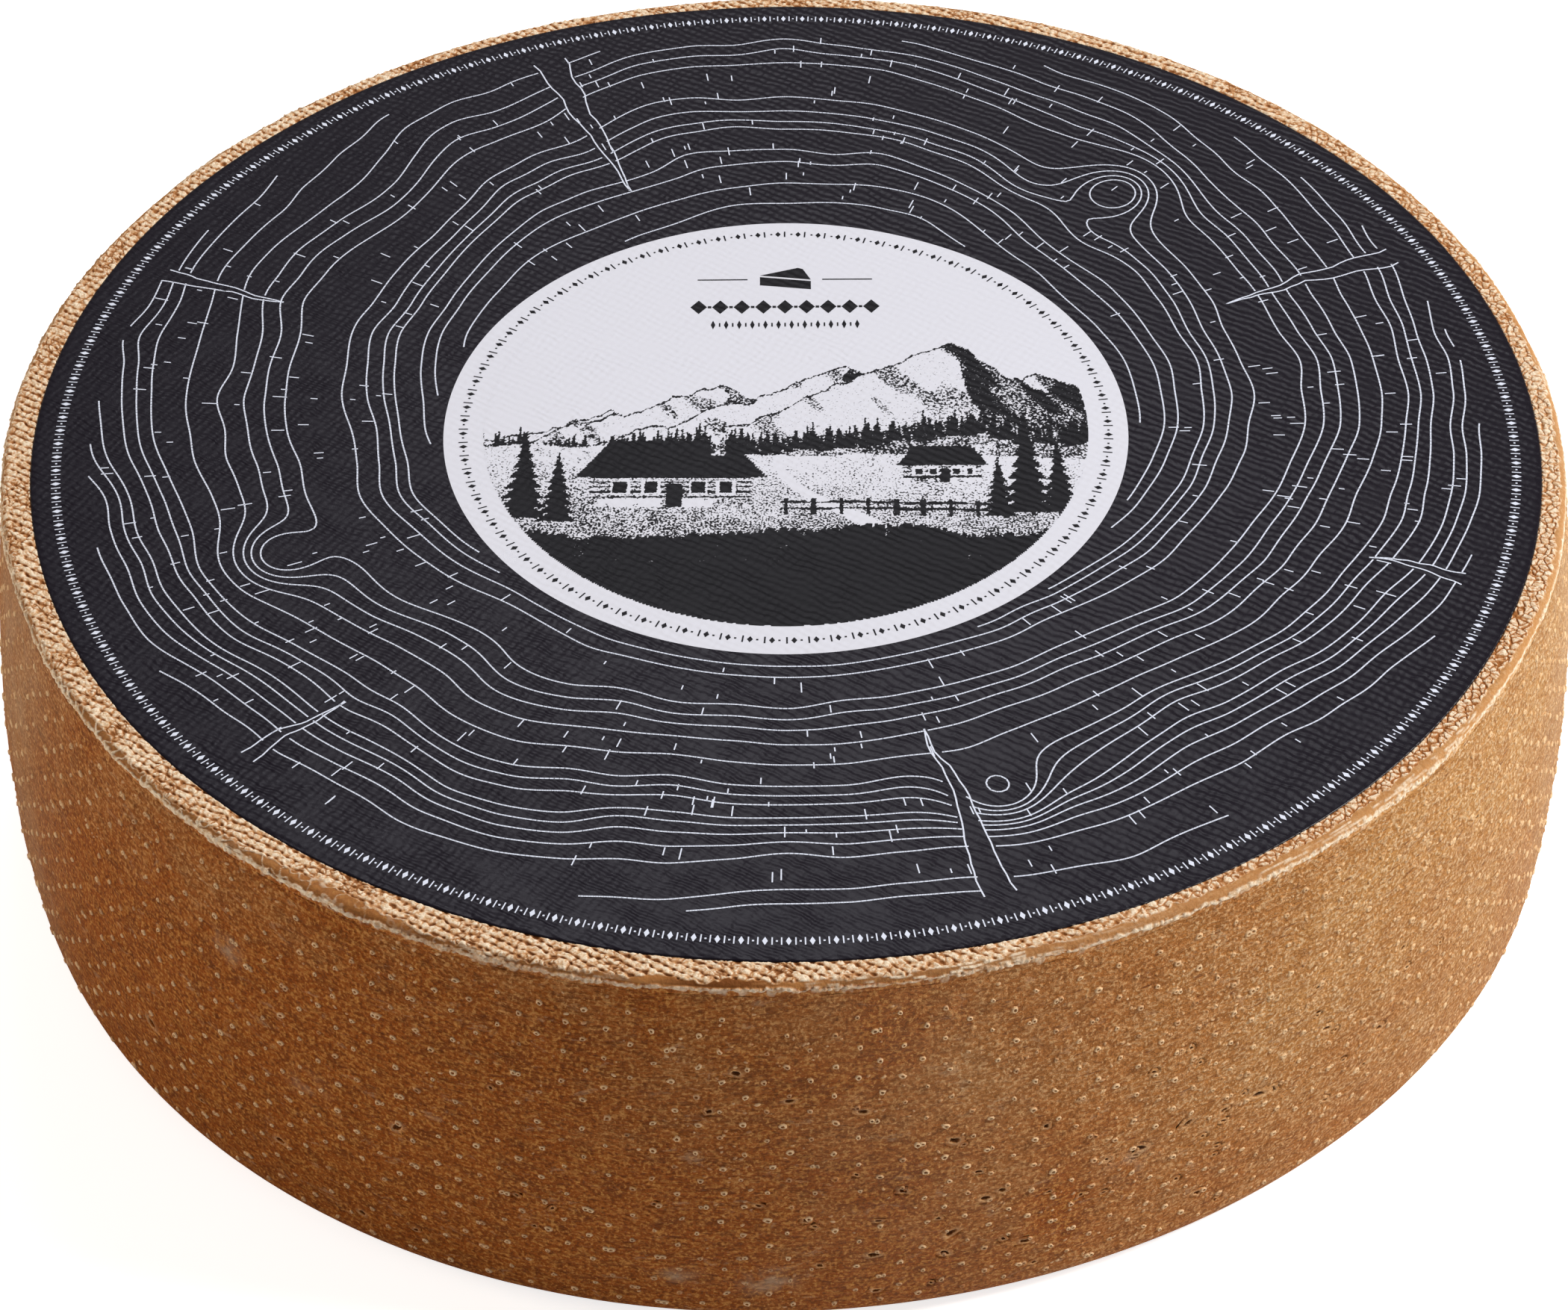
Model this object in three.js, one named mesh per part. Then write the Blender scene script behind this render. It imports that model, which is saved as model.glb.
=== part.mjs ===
// A whole wheel of pressed cheese in its rind, with the round paper label that covers its top face.
// Millimetres, +Z up. The origin is the middle of the base that the wheel stands on, and -Y is its front.

import * as THREE from 'three';

// Driving dimensions of the cheese
const wheelHeight = 86.5;
const faceRadius = 148.6; // where the flat top face ends and its rounded edge starts
const shoulderRadius = 149.9; // at the foot of that rounded edge
const shoulderDrop = 1.4;
const footRadius = 151.8; // where the side meets the rounding of the base edge
const footRounding = 7;
const sideBulge = 2.5; // how far the side swells beyond a straight line from shoulder to foot

// A pressed round is never a true circle. Each wave is [waves in a turn, height, degrees to a crest].
const shoulderWaves = [
  [1, 1.3, 108],
  [2, 0.7, 38],
  [4, 0.45, -26],
  [5, 0.2, 35],
];
const footWaves = [
  [1, 2.4, -169],
  [2, 2.1, -17],
  [3, 1.5, 1],
];

// Driving dimensions of the label
const labelRadius = 145;
const labelThickness = 0.25;
const labelBack = 1.7; // it was laid on a little behind the middle of the wheel

// Facets
const slices = 108;
const shoulderSteps = 3;
const sideSteps = 14;
const footSteps = 5;

// The half section, from the middle of the base out, up the side and back in over the top face.
function wheelSection() {
  const points = [new THREE.Vector2(0, 0)];
  const quarterTurn = Math.PI / 2;

  for (let i = 0; i <= footSteps; i += 1) {
    const turn = (quarterTurn * i) / footSteps;
    const radius = footRadius - footRounding + footRounding * Math.sin(turn);
    points.push(new THREE.Vector2(radius, footRounding * (1 - Math.cos(turn))));
  }

  const sideTop = wheelHeight - shoulderDrop;
  for (let i = 1; i < sideSteps; i += 1) {
    const share = i / sideSteps;
    const chord = THREE.MathUtils.lerp(footRadius, shoulderRadius, share);
    const swell = 4 * sideBulge * share * (1 - share);
    points.push(new THREE.Vector2(chord + swell, THREE.MathUtils.lerp(footRounding, sideTop, share)));
  }

  for (let i = 0; i <= shoulderSteps; i += 1) {
    const turn = (quarterTurn * i) / shoulderSteps;
    const radius = faceRadius + (shoulderRadius - faceRadius) * Math.cos(turn);
    points.push(new THREE.Vector2(radius, sideTop + shoulderDrop * Math.sin(turn)));
  }

  points.push(new THREE.Vector2(0, wheelHeight));
  return points;
}

// The height of a set of waves at one angle round the wheel, in radians.
function waveHeight(waves, angle) {
  return waves.reduce((sum, [count, height, crest]) => {
    return sum + height * Math.cos(count * (angle - THREE.MathUtils.degToRad(crest)));
  }, 0);
}

// Pushes the turned form out of round: the shoulder's waves at the top pass smoothly into the foot's at the base.
function makeUneven(geometry) {
  const position = geometry.getAttribute('position');
  for (let i = 0; i < position.count; i += 1) {
    const x = position.getX(i);
    const y = position.getY(i);
    const z = position.getZ(i);
    const angle = Math.atan2(y, x);
    const shoulderShare = THREE.MathUtils.smoothstep(z, 0, wheelHeight);
    const wave = THREE.MathUtils.lerp(
      waveHeight(footWaves, angle),
      waveHeight(shoulderWaves, angle),
      shoulderShare,
    );
    const stretch = 1 + wave / shoulderRadius;
    position.setXYZ(i, x * stretch, y * stretch, z);
  }
  geometry.computeVertexNormals();
}

// Cheese: one solid, turned about its axis and then made uneven.
function makeCheese() {
  const geometry = new THREE.LatheGeometry(wheelSection(), slices);
  geometry.rotateX(Math.PI / 2);
  makeUneven(geometry);
  const rind = new THREE.MeshStandardMaterial({ color: 0xa5713c, roughness: 0.6, metalness: 0 });
  const cheese = new THREE.Mesh(geometry, rind);
  cheese.name = 'cheese';
  return cheese;
}

// Label: a thin disc of paper lying flat on the top face.
function makeLabel() {
  const geometry = new THREE.CylinderGeometry(labelRadius, labelRadius, labelThickness, slices);
  geometry.rotateX(Math.PI / 2);
  geometry.translate(0, 0, labelThickness / 2);
  const paper = new THREE.MeshStandardMaterial({ color: 0x2b2930, roughness: 0.5, metalness: 0 });
  const label = new THREE.Mesh(geometry, paper);
  label.name = 'label';
  label.position.set(0, labelBack, wheelHeight);
  return label;
}

const cheese = makeCheese();
const wheel = new THREE.Group();
wheel.add(cheese, makeLabel());

// The uneven outline's middle goes on the origin's axis.
const middle = new THREE.Box3().setFromObject(cheese).getCenter(new THREE.Vector3());
wheel.position.set(-middle.x, -middle.y, 0);

export default wheel;
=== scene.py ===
# %% [markdown]
# # A wheel of pressed cheese, cell by cell
#
# This lesson builds a whole Alpine wheel: a brown brushed rind with rows of small mould marks, a pale top
# edge that still carries the weave of its cheesecloth, and a thin black paper label printed in white. The
# CAD model gives the place and the size of two solids, the cheese and the label. Everything here is
# looks, laid exactly round them.

import bpy
import numpy as np
from mathutils import Matrix, Vector


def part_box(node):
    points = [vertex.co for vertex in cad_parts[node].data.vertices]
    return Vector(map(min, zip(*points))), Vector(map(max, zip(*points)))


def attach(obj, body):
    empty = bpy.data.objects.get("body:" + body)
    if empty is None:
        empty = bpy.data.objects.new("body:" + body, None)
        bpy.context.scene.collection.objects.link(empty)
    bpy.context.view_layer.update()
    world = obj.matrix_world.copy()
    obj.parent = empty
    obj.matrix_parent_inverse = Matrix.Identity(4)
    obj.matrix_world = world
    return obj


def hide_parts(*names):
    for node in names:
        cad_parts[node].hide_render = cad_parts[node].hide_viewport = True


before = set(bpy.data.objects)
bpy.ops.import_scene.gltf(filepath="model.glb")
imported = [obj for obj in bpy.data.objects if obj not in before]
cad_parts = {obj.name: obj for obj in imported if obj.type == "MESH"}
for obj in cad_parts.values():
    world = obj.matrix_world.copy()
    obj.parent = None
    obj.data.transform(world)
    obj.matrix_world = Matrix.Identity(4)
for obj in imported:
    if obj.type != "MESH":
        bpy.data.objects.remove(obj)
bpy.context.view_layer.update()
print("CAD nodes:", sorted(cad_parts))

# %% [markdown]
# ## Sizes
#
# Blender works in metres, but a cheese is easier to think about in millimetres. So every surface below is
# computed in millimetres, and one helper turns it into metres when the mesh is made. The sizes that the
# CAD parts give are read from them. The others are the same driving dimensions that the CAD model is
# turned from.

# %% Sizes of the wheel and its label, in millimetres
MM = 0.001

_, cheese_high = (np.array(corner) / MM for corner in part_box("cheese"))
label_low, label_high = (np.array(corner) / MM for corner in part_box("label"))
wheel_height = cheese_high[2]
label_radius = (label_high[0] - label_low[0]) / 2
label_top = label_high[2]
label_middle = (label_low[:2] + label_high[:2]) / 2
label_back = 1.7  # the label was laid on this far behind the wheel's axis
axis = label_middle - (0, label_back)

face_radius = 148.6
shoulder_radius = 149.9
shoulder_drop = 1.4
foot_radius = 151.8
foot_rounding = 7
side_bulge = 2.5
shoulder_waves = ((1, 1.3, 108), (2, 0.7, 38), (4, 0.45, -26), (5, 0.2, 35))
foot_waves = ((1, 2.4, -169), (2, 2.1, -17), (3, 1.5, 1))
print(f"wheel {wheel_height:.1f} mm high, label {2 * label_radius:.0f} mm across")

# %% [markdown]
# ## Camera
#
# A long lens from less than a metre away shows the wheel from above at about 42 degrees. The camera goes
# in before anything else, because every later choice of detail depends on how large a millimetre is in
# the picture.

# %% Camera
camera_offset = Vector((-0.57, -710.4, 570.9))  # from the middle of the label's face, in millimetres
camera_pitch = 41.543  # degrees below the horizon
camera_roll = -0.297
sensor_width = 36
focal_length = 108.14

camera_data = bpy.data.cameras.new("camera")
camera_data.sensor_width = sensor_width
camera_data.lens = focal_length
camera = bpy.data.objects.new("camera", camera_data)
label_face = Vector((*label_middle, wheel_height))
tilt = Matrix.Rotation(np.radians(90 - camera_pitch), 4, "X")
roll = Matrix.Rotation(np.radians(camera_roll), 4, "Z")
camera.matrix_world = Matrix.Translation((label_face + camera_offset) * MM) @ tilt @ roll
bpy.context.scene.collection.objects.link(camera)
bpy.context.scene.camera = camera
print("camera at", [round(x, 3) for x in camera.location])

# %% [markdown]
# ## Helpers for meshes
#
# A surface made with numpy is an array of points and an array of faces that index it. `foreach_set` hands
# whole arrays to Blender at once, which is hundreds of times faster than a Python loop over vertices.
# Extra numbers, such as how pale a spot is, travel with the mesh as attributes, and a material can read
# them by name.


# %% Mesh helpers
def mesh_piece(name, points, face_sets, **tones):
    """An object from points in millimetres and arrays of faces, one face a row. Each tone becomes an
    attribute, with one number a point."""
    mesh = bpy.data.meshes.new(name)
    mesh.vertices.add(len(points))
    mesh.vertices.foreach_set("co", (points * MM).astype(np.float32).ravel())
    sizes = np.concatenate([np.full(len(faces), faces.shape[1]) for faces in face_sets])
    corners = np.concatenate([faces.ravel() for faces in face_sets])
    mesh.loops.add(len(corners))
    mesh.loops.foreach_set("vertex_index", corners.astype(np.int32))
    mesh.polygons.add(len(sizes))
    mesh.polygons.foreach_set("loop_start", (np.cumsum(sizes) - sizes).astype(np.int32))
    mesh.polygons.foreach_set("use_smooth", np.ones(len(sizes), bool))
    mesh.update(calc_edges=True)
    for tone, values in tones.items():
        attribute = mesh.attributes.new(tone, "FLOAT", "POINT")
        attribute.data.foreach_set("value", np.broadcast_to(values, len(points)).astype(np.float32))
    piece = bpy.data.objects.new(name, mesh)
    bpy.context.scene.collection.objects.link(piece)
    return piece


def grid_faces(rows, columns, joined=False):
    """Quads of a grid whose points run along its rows. With joined, the last column meets the first."""
    last = columns if joined else columns - 1
    row, column = np.meshgrid(np.arange(rows - 1), np.arange(last), indexing="ij")
    here = (row * columns + column).ravel()
    beside = (row * columns + (column + 1) % columns).ravel()
    return np.stack([here, beside, beside + columns, here + columns], axis=1)


def fan_faces(ring, pole):
    """Triangles from each pair of neighbours in a closed ring of points to one pole."""
    return np.stack([ring, np.roll(ring, -1), np.full(len(ring), pole)], axis=1)


def finish_piece(piece, material, node):
    """Gives a piece its material, hangs it under the root body, and hides the CAD node that it stands for.
    """
    piece.data.materials.append(material)
    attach(piece, "root")
    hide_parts(node)
    triangles = len(piece.data.loops) - 2 * len(piece.data.polygons)
    print(f"{piece.name}: {triangles} triangles")


# %% [markdown]
# ## Chance that is the same each time
#
# Nothing on a cheese is even. Value noise gives that: space is cut into cubes, each corner gets a random
# number from a hash of its place, and the numbers are faded across the cube. The same point always gets
# the same number, so two pieces that meet agree about the bumps where they meet. Several sizes of cube
# together look like a natural surface.


# %% Noise helpers
def hashed(place, seed):
    """A number from 0 to 1 for each whole-numbered place: its parts times large primes are added up, and
    the bits of the sum are folded over."""
    primes = np.array([374761393, 668265263, 2246822519])[: place.shape[-1]]
    mixed = seed * 1013904223 + (place * primes).sum(-1)
    mixed = (mixed ^ (mixed >> 13)) * 1274126177 & 0xFFFFFFFF
    return ((mixed ^ (mixed >> 16)) & 0xFFFF) / 65535


def soft_noise(points, size, seed):
    """Heights from -1 to 1, hashed at the corners of cubes of this size and faded across them with
    3t^2 - 2t^3."""
    cell = points / size
    corner = np.floor(cell).astype(np.int64)
    part = cell - corner
    fade = part * part * (3 - 2 * part)
    total = np.zeros(points.shape[:-1])
    for step in np.ndindex(*(2,) * points.shape[-1]):
        weight = np.prod(np.where(step, fade, 1 - fade), axis=-1)
        total += weight * (2 * hashed(corner + np.array(step), seed) - 1)
    return total


def layered_noise(points, layers, seed):
    """The sum of several noises, each given as (size, height)."""
    return sum(height * soft_noise(points, size, seed + i) for i, (size, height) in enumerate(layers))


def crumb_cells(points, size, seed):
    """For crumbs scattered one to a square of this size: the distances to the nearest and the next one, in
    squares."""
    cell = points / size
    corner = np.floor(cell).astype(np.int64)
    reach = []
    for step in np.ndindex(3, 3):
        place = corner + np.array(step) - 1
        crumb = place + 0.5 + 0.42 * np.stack([2 * hashed(place, seed + i) - 1 for i in (0, 1)], axis=-1)
        reach.append(np.hypot(*(cell - crumb).T).T)
    nearest, following = np.partition(np.stack(reach), 1, axis=0)[:2]
    return nearest, following


def ease(value, low, high):
    """0 below low, 1 above high, and 3t^2 - 2t^3 between."""
    share = np.clip((value - low) / (high - low), 0, 1)
    return share * share * (3 - 2 * share)


def apart(turn, place):
    """The angle in degrees, from -180 to 180, from a place in degrees to a turn in radians."""
    return (np.degrees(turn) - place + 180) % 360 - 180


def near(turn, place, half_width):
    """1 at a place and fading away from it: exp(-(angle / half width)^2), with both in degrees."""
    return np.exp(-((apart(turn, place) / half_width) ** 2))


chance = np.random.default_rng(7)

# %% [markdown]
# ## The wheel's form
#
# The side isn't a cylinder. The paste settles while it is pressed, so the side swells a little, the foot
# spreads, and the outline seen from above is slightly out of round, with one set of slow waves at the
# foot and another at the shoulder. These are the same formulas that the CAD solid was turned from, so the
# looks lie exactly on it.


# %% Outline of the wheel
def wave_height(waves, turn):
    """Sum of height * cos(count * (turn - crest)) over a set of (count, height, crest in degrees)."""
    return sum(height * np.cos(count * (turn - np.radians(crest))) for count, height, crest in waves)


def out_of_round(turn, height):
    """What the radius is multiplied by: 1 + wave / shoulder radius. The wave passes from the foot's to the
    shoulder's."""
    share = ease(height, 0, wheel_height)
    wave = (1 - share) * wave_height(foot_waves, turn) + share * wave_height(shoulder_waves, turn)
    return 1 + wave / shoulder_radius


def true_radius(height):
    """Radius before the waves: a quarter circle at the foot, a chord with a swell of 4 b s (1 - s), and a
    quarter ellipse at the shoulder."""
    share = np.clip((height - foot_rounding) / (wheel_height - shoulder_drop - foot_rounding), 0, 1)
    chord = foot_radius + (shoulder_radius - foot_radius) * share
    swell = 4 * side_bulge * share * (1 - share)
    under = np.clip(1 - height / foot_rounding, 0, 1)
    over = np.clip(1 - (wheel_height - height) / shoulder_drop, 0, 1)
    foot_cut = foot_rounding * (1 - np.sqrt(1 - under**2))
    shoulder_cut = (shoulder_radius - face_radius) * (1 - np.sqrt(1 - over**2))
    return chord + swell - foot_cut - shoulder_cut


def rind_radius(turn, height):
    """Radius of the side at a turn and a height."""
    return true_radius(height) * out_of_round(turn, height)


def from_axis(turn, radius, height):
    """Points at a turn, a radius from the wheel's axis and a height."""
    turn, radius, height = np.broadcast_arrays(turn, radius, height)
    return np.stack([axis[0] + radius * np.cos(turn), axis[1] + radius * np.sin(turn), height], axis=-1)


side_layers = ((38, 0.35), (13, 0.2), (5.2, 0.12), (2.4, 0.08), (1.3, 0.05))


def side_relief(turn, height):
    """How far the side stands proud of its smooth outline: slow dents and fine lumps, gone at the foot."""
    points = from_axis(turn, rind_radius(turn, height), height)
    return layered_noise(points, side_layers, 11) * ease(height, 0, 2 * foot_rounding)


def on_side(turn, height, lift):
    """Points that stand a lift proud of the uneven side."""
    return from_axis(turn, rind_radius(turn, height) + side_relief(turn, height) + lift, height)


# %% [markdown]
# ## Tones of the rind
#
# A rind ripens unevenly. Where it was brushed with brine most often it is a deep orange brown, and where
# it stayed drier it is a pale tan. Part of that colour is painted light: the front left, out of the key
# light, is made browner, the lit right paler, and the foot darker and browner as painted shade. Small
# scuffs and a stretch at the front are drier still, and greyer, and the far left and right edges of the
# side are painted paler and greyer as painted reflection of the bright surroundings. Each side piece asks
# these functions how ripe and how scuffed a place is, so a mould mark has the colour of the rind that it
# sits in.

# %% Tones that all pieces of the rind share
# The bell at -113 degrees is partly painted shade: the front left, out of the key light, is made a deeper
# brown, while the lit right, with no bell, stays pale.
ripe_and_painted_light_places = (  # degrees, sharpness, strength
    (-113, 3.1, 0.95),
    (-155, 5, 0.34),
    (-62, 7, 0.14),
    (78, 1.4, 0.7),
)
# The bell of -0.1 at -120 degrees is painted light: the top band of the front left is made paler.
upper_ripe_and_painted_light_places = ((-74, 9, 0.2), (-120, 14, -0.1))  # the same, for places that differ only near the top
upper_from, upper_full = 55, 80  # the heights at which those set in and are there in full
foot_painted_shade = 0.36  # how much darker and browner the foot is made: painted shade near the floor
paleness = 0.1
ripest = 1.35
ripe_layers = ((45, 0.14), (17, 0.09), (7, 0.07), (3.4, 0.07))
scuffs = (  # degrees, height, half width, half height
    (-91.5, 13, 4.5, 3),
    (-97.5, 14.5, 3, 1.8),
    (-124, 40, 3, 3),
    (-131, 63, 3, 2.5),
    (-66, 30, 4, 3),
    (150, 45, 6, 4),
    (60, 25, 5, 3),
)
scuff_layers = ((6, 0.7), (2.2, 0.8), (1.1, 0.5))
# The parts at -4 and -163 degrees are painted reflection: the side's far right and left edges are made
# paler and greyer, as where bright surroundings reflect in them. The part at -81 degrees is drier rind.
dry_and_reflection_parts = ((-81, 9, 0.09), (-4, 17, 0.5), (-163, 8, 0.4))  # degrees, half width, strength
dry_and_reflection_layers = ((34, 0.6), (12, 0.4), (4, 0.3))


def ripeness_and_painted_light(points):
    """1 where the rind is deep brown and 0 where it is pale: bells round the ripe places, partly painted
    light, a foot darkened as painted shade, and broad noise. A bell is strength * exp(sharpness *
    (cos(angle) - 1))."""
    turn = np.arctan2(points[..., 1] - axis[1], points[..., 0] - axis[0])

    def bell(place, sharpness, strength):
        return strength * np.exp(sharpness * (np.cos(turn - np.radians(place)) - 1))

    upper = ease(points[..., 2], upper_from, upper_full)
    bells = sum(bell(*place) for place in ripe_and_painted_light_places) + upper * sum(bell(*place) for place in upper_ripe_and_painted_light_places)
    # Painted shade: the rind is made browner and darker towards the foot.
    low_down = foot_painted_shade * ease(points[..., 2], 85, 5) - paleness
    return np.clip(bells + low_down + layered_noise(points, ripe_layers, 31), 0, ripest)


def scuffs_and_reflection(points):
    """1 in the middle of a grey dry scuff or dry part, and at the painted reflection on the side's edges: a
    bell for each place, broken up by noise.
    """
    turn = np.arctan2(points[..., 1] - axis[1], points[..., 0] - axis[0])
    dry_and_reflection = sum(strength * near(turn, place, half_width) for place, half_width, strength in dry_and_reflection_parts)
    dry_and_reflection = dry_and_reflection * (0.85 + layered_noise(points, dry_and_reflection_layers, 45))
    total = np.zeros(turn.shape)
    for place, height, half_width, half_height in scuffs:
        across = np.radians(apart(turn, place)) * foot_radius
        total += np.exp(-((across / half_width) ** 2) - ((points[..., 2] - height) / half_height) ** 2)
    broken = layered_noise(points, scuff_layers, 41)
    return np.clip(total * (0.45 + broken) + dry_and_reflection, 0, 1)


def rind_tones(points):
    """The tones that a piece of the rind carries for its material."""
    return {"ripe_and_painted_light": ripeness_and_painted_light(points), "scuff_and_reflection": scuffs_and_reflection(points)}


# %% [markdown]
# ## Helpers for materials
#
# A Blender material is a tree of nodes. One helper adds a node, sets its own settings and fills its
# inputs, either with a fixed value or with another node's output. Colours are written as the hex values
# that a screen shows, and a function turns them into the linear numbers that light is computed with.


# %% Material helpers
def linear(code):
    """An sRGB hex colour as linear numbers: c / 12.92 in the darks, ((c + 0.055) / 1.055) ** 2.4 above.
    The last number is full cover."""
    shares = np.array([int(code[i : i + 2], 16) for i in (1, 3, 5)]) / 255
    shares = np.where(shares <= 0.04045, shares / 12.92, ((shares + 0.055) / 1.055) ** 2.4)
    return (*shares.tolist(), 1.0)


def add_node(tree, kind, settings=None, inputs=None):
    """Adds a node with its own settings. An input whose value is a socket gets a link, and any other input
    gets the value."""
    node = tree.nodes.new(kind)
    for name, value in (settings or {}).items():
        setattr(node, name, value)
    for name, value in (inputs or {}).items():
        if isinstance(value, bpy.types.NodeSocket):
            tree.links.new(value, node.inputs[name])
        else:
            node.inputs[name].default_value = value
    return node


def new_material(name):
    """An empty material's tree, and the material."""
    material = bpy.data.materials.new(name)
    material.use_nodes = True
    material.node_tree.nodes.clear()
    return material, material.node_tree


def end_with(tree, **inputs):
    """Closes a material with a Principled shader whose inputs are given by name, with _ for a space."""
    named = {name.replace("_", " "): value for name, value in inputs.items()}
    shader = add_node(tree, "ShaderNodeBsdfPrincipled", inputs=named)
    add_node(tree, "ShaderNodeOutputMaterial", inputs={"Surface": shader.outputs["BSDF"]})


# A Mix node has sockets for each type of data. These are its setting and its sockets for mixing colours.
COLOURS = {"data_type": "RGBA"}
SHARE, BELOW, ABOVE, MIXED = 0, 6, 7, 2


# %% [markdown]
# ## Rind colour
#
# A washed and brushed rind, dried by months on a spruce board: a thin tough skin of paste, smear and
# mould. To the eye it is satin, never glossy, and its colour changes at every scale: clouds of two
# centimetres, mottle and a dry tan bloom of about six millimetres, a felt of pale fibres, fine drawn-out
# cracks, and grit under a millimetre across. A noise texture in the piece's own metres gives each scale.
# Most are squeezed in height, because the brush went round the wheel and drew them out sideways. Each
# then lays its tint over the ones before it.

# %% Colour and fine relief of the rind
pale_rind = "#c58f4f"
ripe_rind = "#a3540f"
pale_shade = "#a66c31"
ripe_shade = "#6a350b"
felt_pale = "#e6c8a0"
felt_ripe = "#d09149"
crack_dark = "#6b3312"
scuff_and_reflection_grey = "#c3ab8f"
bloom_tan = "#cba580"
brush_stretch = 2.2
crack_stretch = (0.4, 0.4, 2.2)
cloud_depth = 0.6  # how far the clouds move the ripeness
scuff_and_reflection_cover = 0.6


def rind_colour(tree):
    """Adds the nodes of the rind's colour and its fine relief, and returns the two sockets."""
    place = add_node(tree, "ShaderNodeTexCoord").outputs["Object"]
    brushed = add_node(
        tree, "ShaderNodeMapping", inputs={"Vector": place, "Scale": (1, 1, brush_stretch)}
    ).outputs["Vector"]
    drawn_out = add_node(
        tree, "ShaderNodeMapping", inputs={"Vector": place, "Scale": crack_stretch}
    ).outputs["Vector"]
    # The ripe tone carries the rind's ripening together with painted light: browner in the shade, paler
    # where lit, darker at the foot.
    ripe_and_painted_light = add_node(tree, "ShaderNodeAttribute", {"attribute_name": "ripe_and_painted_light"}).outputs["Fac"]
    scuff_and_reflection = add_node(tree, "ShaderNodeAttribute", {"attribute_name": "scuff_and_reflection"}).outputs["Fac"]

    clouds, mottle, felt, bloom, grit, cracks = (
        add_node(
            tree,
            "ShaderNodeTexNoise",
            inputs={
                "Vector": vector,
                "Scale": 1 / size,
                "Detail": detail,
                "Roughness": roughness,
                "Distortion": distortion,
            },
        ).outputs["Fac"]
        for vector, size, detail, roughness, distortion in (  # sizes in metres
            (place, 0.02, 3.0, 0.5, 0.0),
            (brushed, 0.0055, 3.0, 0.6, 0.0),
            (brushed, 0.0017, 4.0, 0.72, 0.5),
            (brushed, 0.006, 5.0, 0.76, 0.6),
            (place, 0.0007, 2.0, 0.6, 0.0),
            (drawn_out, 0.0013, 2.0, 0.5, 0.0),
        )
    )

    ripe_cloud = add_node(
        tree,
        "ShaderNodeMath",
        {"operation": "MULTIPLY_ADD"},
        {0: clouds, 1: cloud_depth, 2: -cloud_depth / 2},
    ).outputs[0]
    ripe_and_painted_light_here = add_node(
        tree, "ShaderNodeMath", {"operation": "ADD", "use_clamp": True}, {0: ripe_and_painted_light, 1: ripe_cloud}
    ).outputs[0]
    colour, felt_tint, shade_tint = (
        add_node(
            tree, "ShaderNodeMix", COLOURS, {SHARE: ripe_and_painted_light_here, BELOW: linear(pale), ABOVE: linear(brown)}
        ).outputs[MIXED]
        for pale, brown in ((pale_rind, ripe_rind), (felt_pale, felt_ripe), (pale_shade, ripe_shade))
    )
    for pattern, start, stop, most, tint in (
        (mottle, 0.52, 0.34, 0.5, shade_tint),
        (felt, 0.5, 0.66, 0.6, felt_tint),
        (felt, 0.46, 0.32, 0.6, shade_tint),
        (grit, 0.47, 0.33, 0.75, shade_tint),
        (grit, 0.53, 0.66, 0.9, felt_tint),
        (cracks, 0.36, 0.27, 0.7, linear(crack_dark)),
        (bloom, 0.595, 0.66, 0.38, linear(bloom_tan)),
    ):
        share = add_node(
            tree,
            "ShaderNodeMapRange",
            inputs={"Value": pattern, "From Min": start, "From Max": stop, "To Max": most},
        ).outputs["Result"]
        colour = add_node(
            tree, "ShaderNodeMix", COLOURS, {SHARE: share, BELOW: colour, ABOVE: tint}
        ).outputs[MIXED]
    # The grey lies on the scuffs and, at the far left and right edges of the side, as painted reflection.
    scuff_and_reflection_share = add_node(
        tree, "ShaderNodeMath", {"operation": "MULTIPLY", "use_clamp": True}, {0: scuff_and_reflection, 1: scuff_and_reflection_cover}
    ).outputs[0]
    colour = add_node(
        tree, "ShaderNodeMix", COLOURS, {SHARE: scuff_and_reflection_share, BELOW: colour, ABOVE: linear(scuff_and_reflection_grey)}
    ).outputs[MIXED]

    relief = felt
    for pattern, height in ((grit, 0.45), (cracks, 0.5)):  # heights as shares of the felt's
        relief = add_node(
            tree, "ShaderNodeMath", {"operation": "MULTIPLY_ADD"}, {0: pattern, 1: height, 2: relief}
        ).outputs[0]
    return colour, relief


washed_rind, tree = new_material("washed_rind")
colour, relief = rind_colour(tree)
bump = add_node(tree, "ShaderNodeBump", inputs={"Height": relief, "Strength": 1.0, "Distance": 0.0008})
end_with(tree, Base_Color=colour, Roughness=0.66, Specular_IOR_Level=0.16, Normal=bump.outputs["Normal"])

# %% [markdown]
# ## Arcs of a skin
#
# The side and the rim are each one endless surface, but a fine grid all the way round would be too many
# triangles for one piece. So each is cut into eight arcs that share their end points. An arc is closed by
# a few hidden rows behind it and a cap at each end, and it gets the normals of the whole ring, so that no
# seam shows in the shading.


# %% Arcs of a ring
def ring_normals(points):
    """Unit normals of a grid closed along its second direction: the cross product of its two slopes."""
    around = np.roll(points, -1, axis=1) - np.roll(points, 1, axis=1)
    across = np.gradient(points, axis=0)
    normals = np.cross(around, across)
    return normals / np.linalg.norm(normals, axis=-1, keepdims=True)


arc_names = (
    "left_front",
    "front_left",
    "front_right",
    "right_front",
    "right_back",
    "back_right",
    "back_left",
    "left_back",
)


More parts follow.
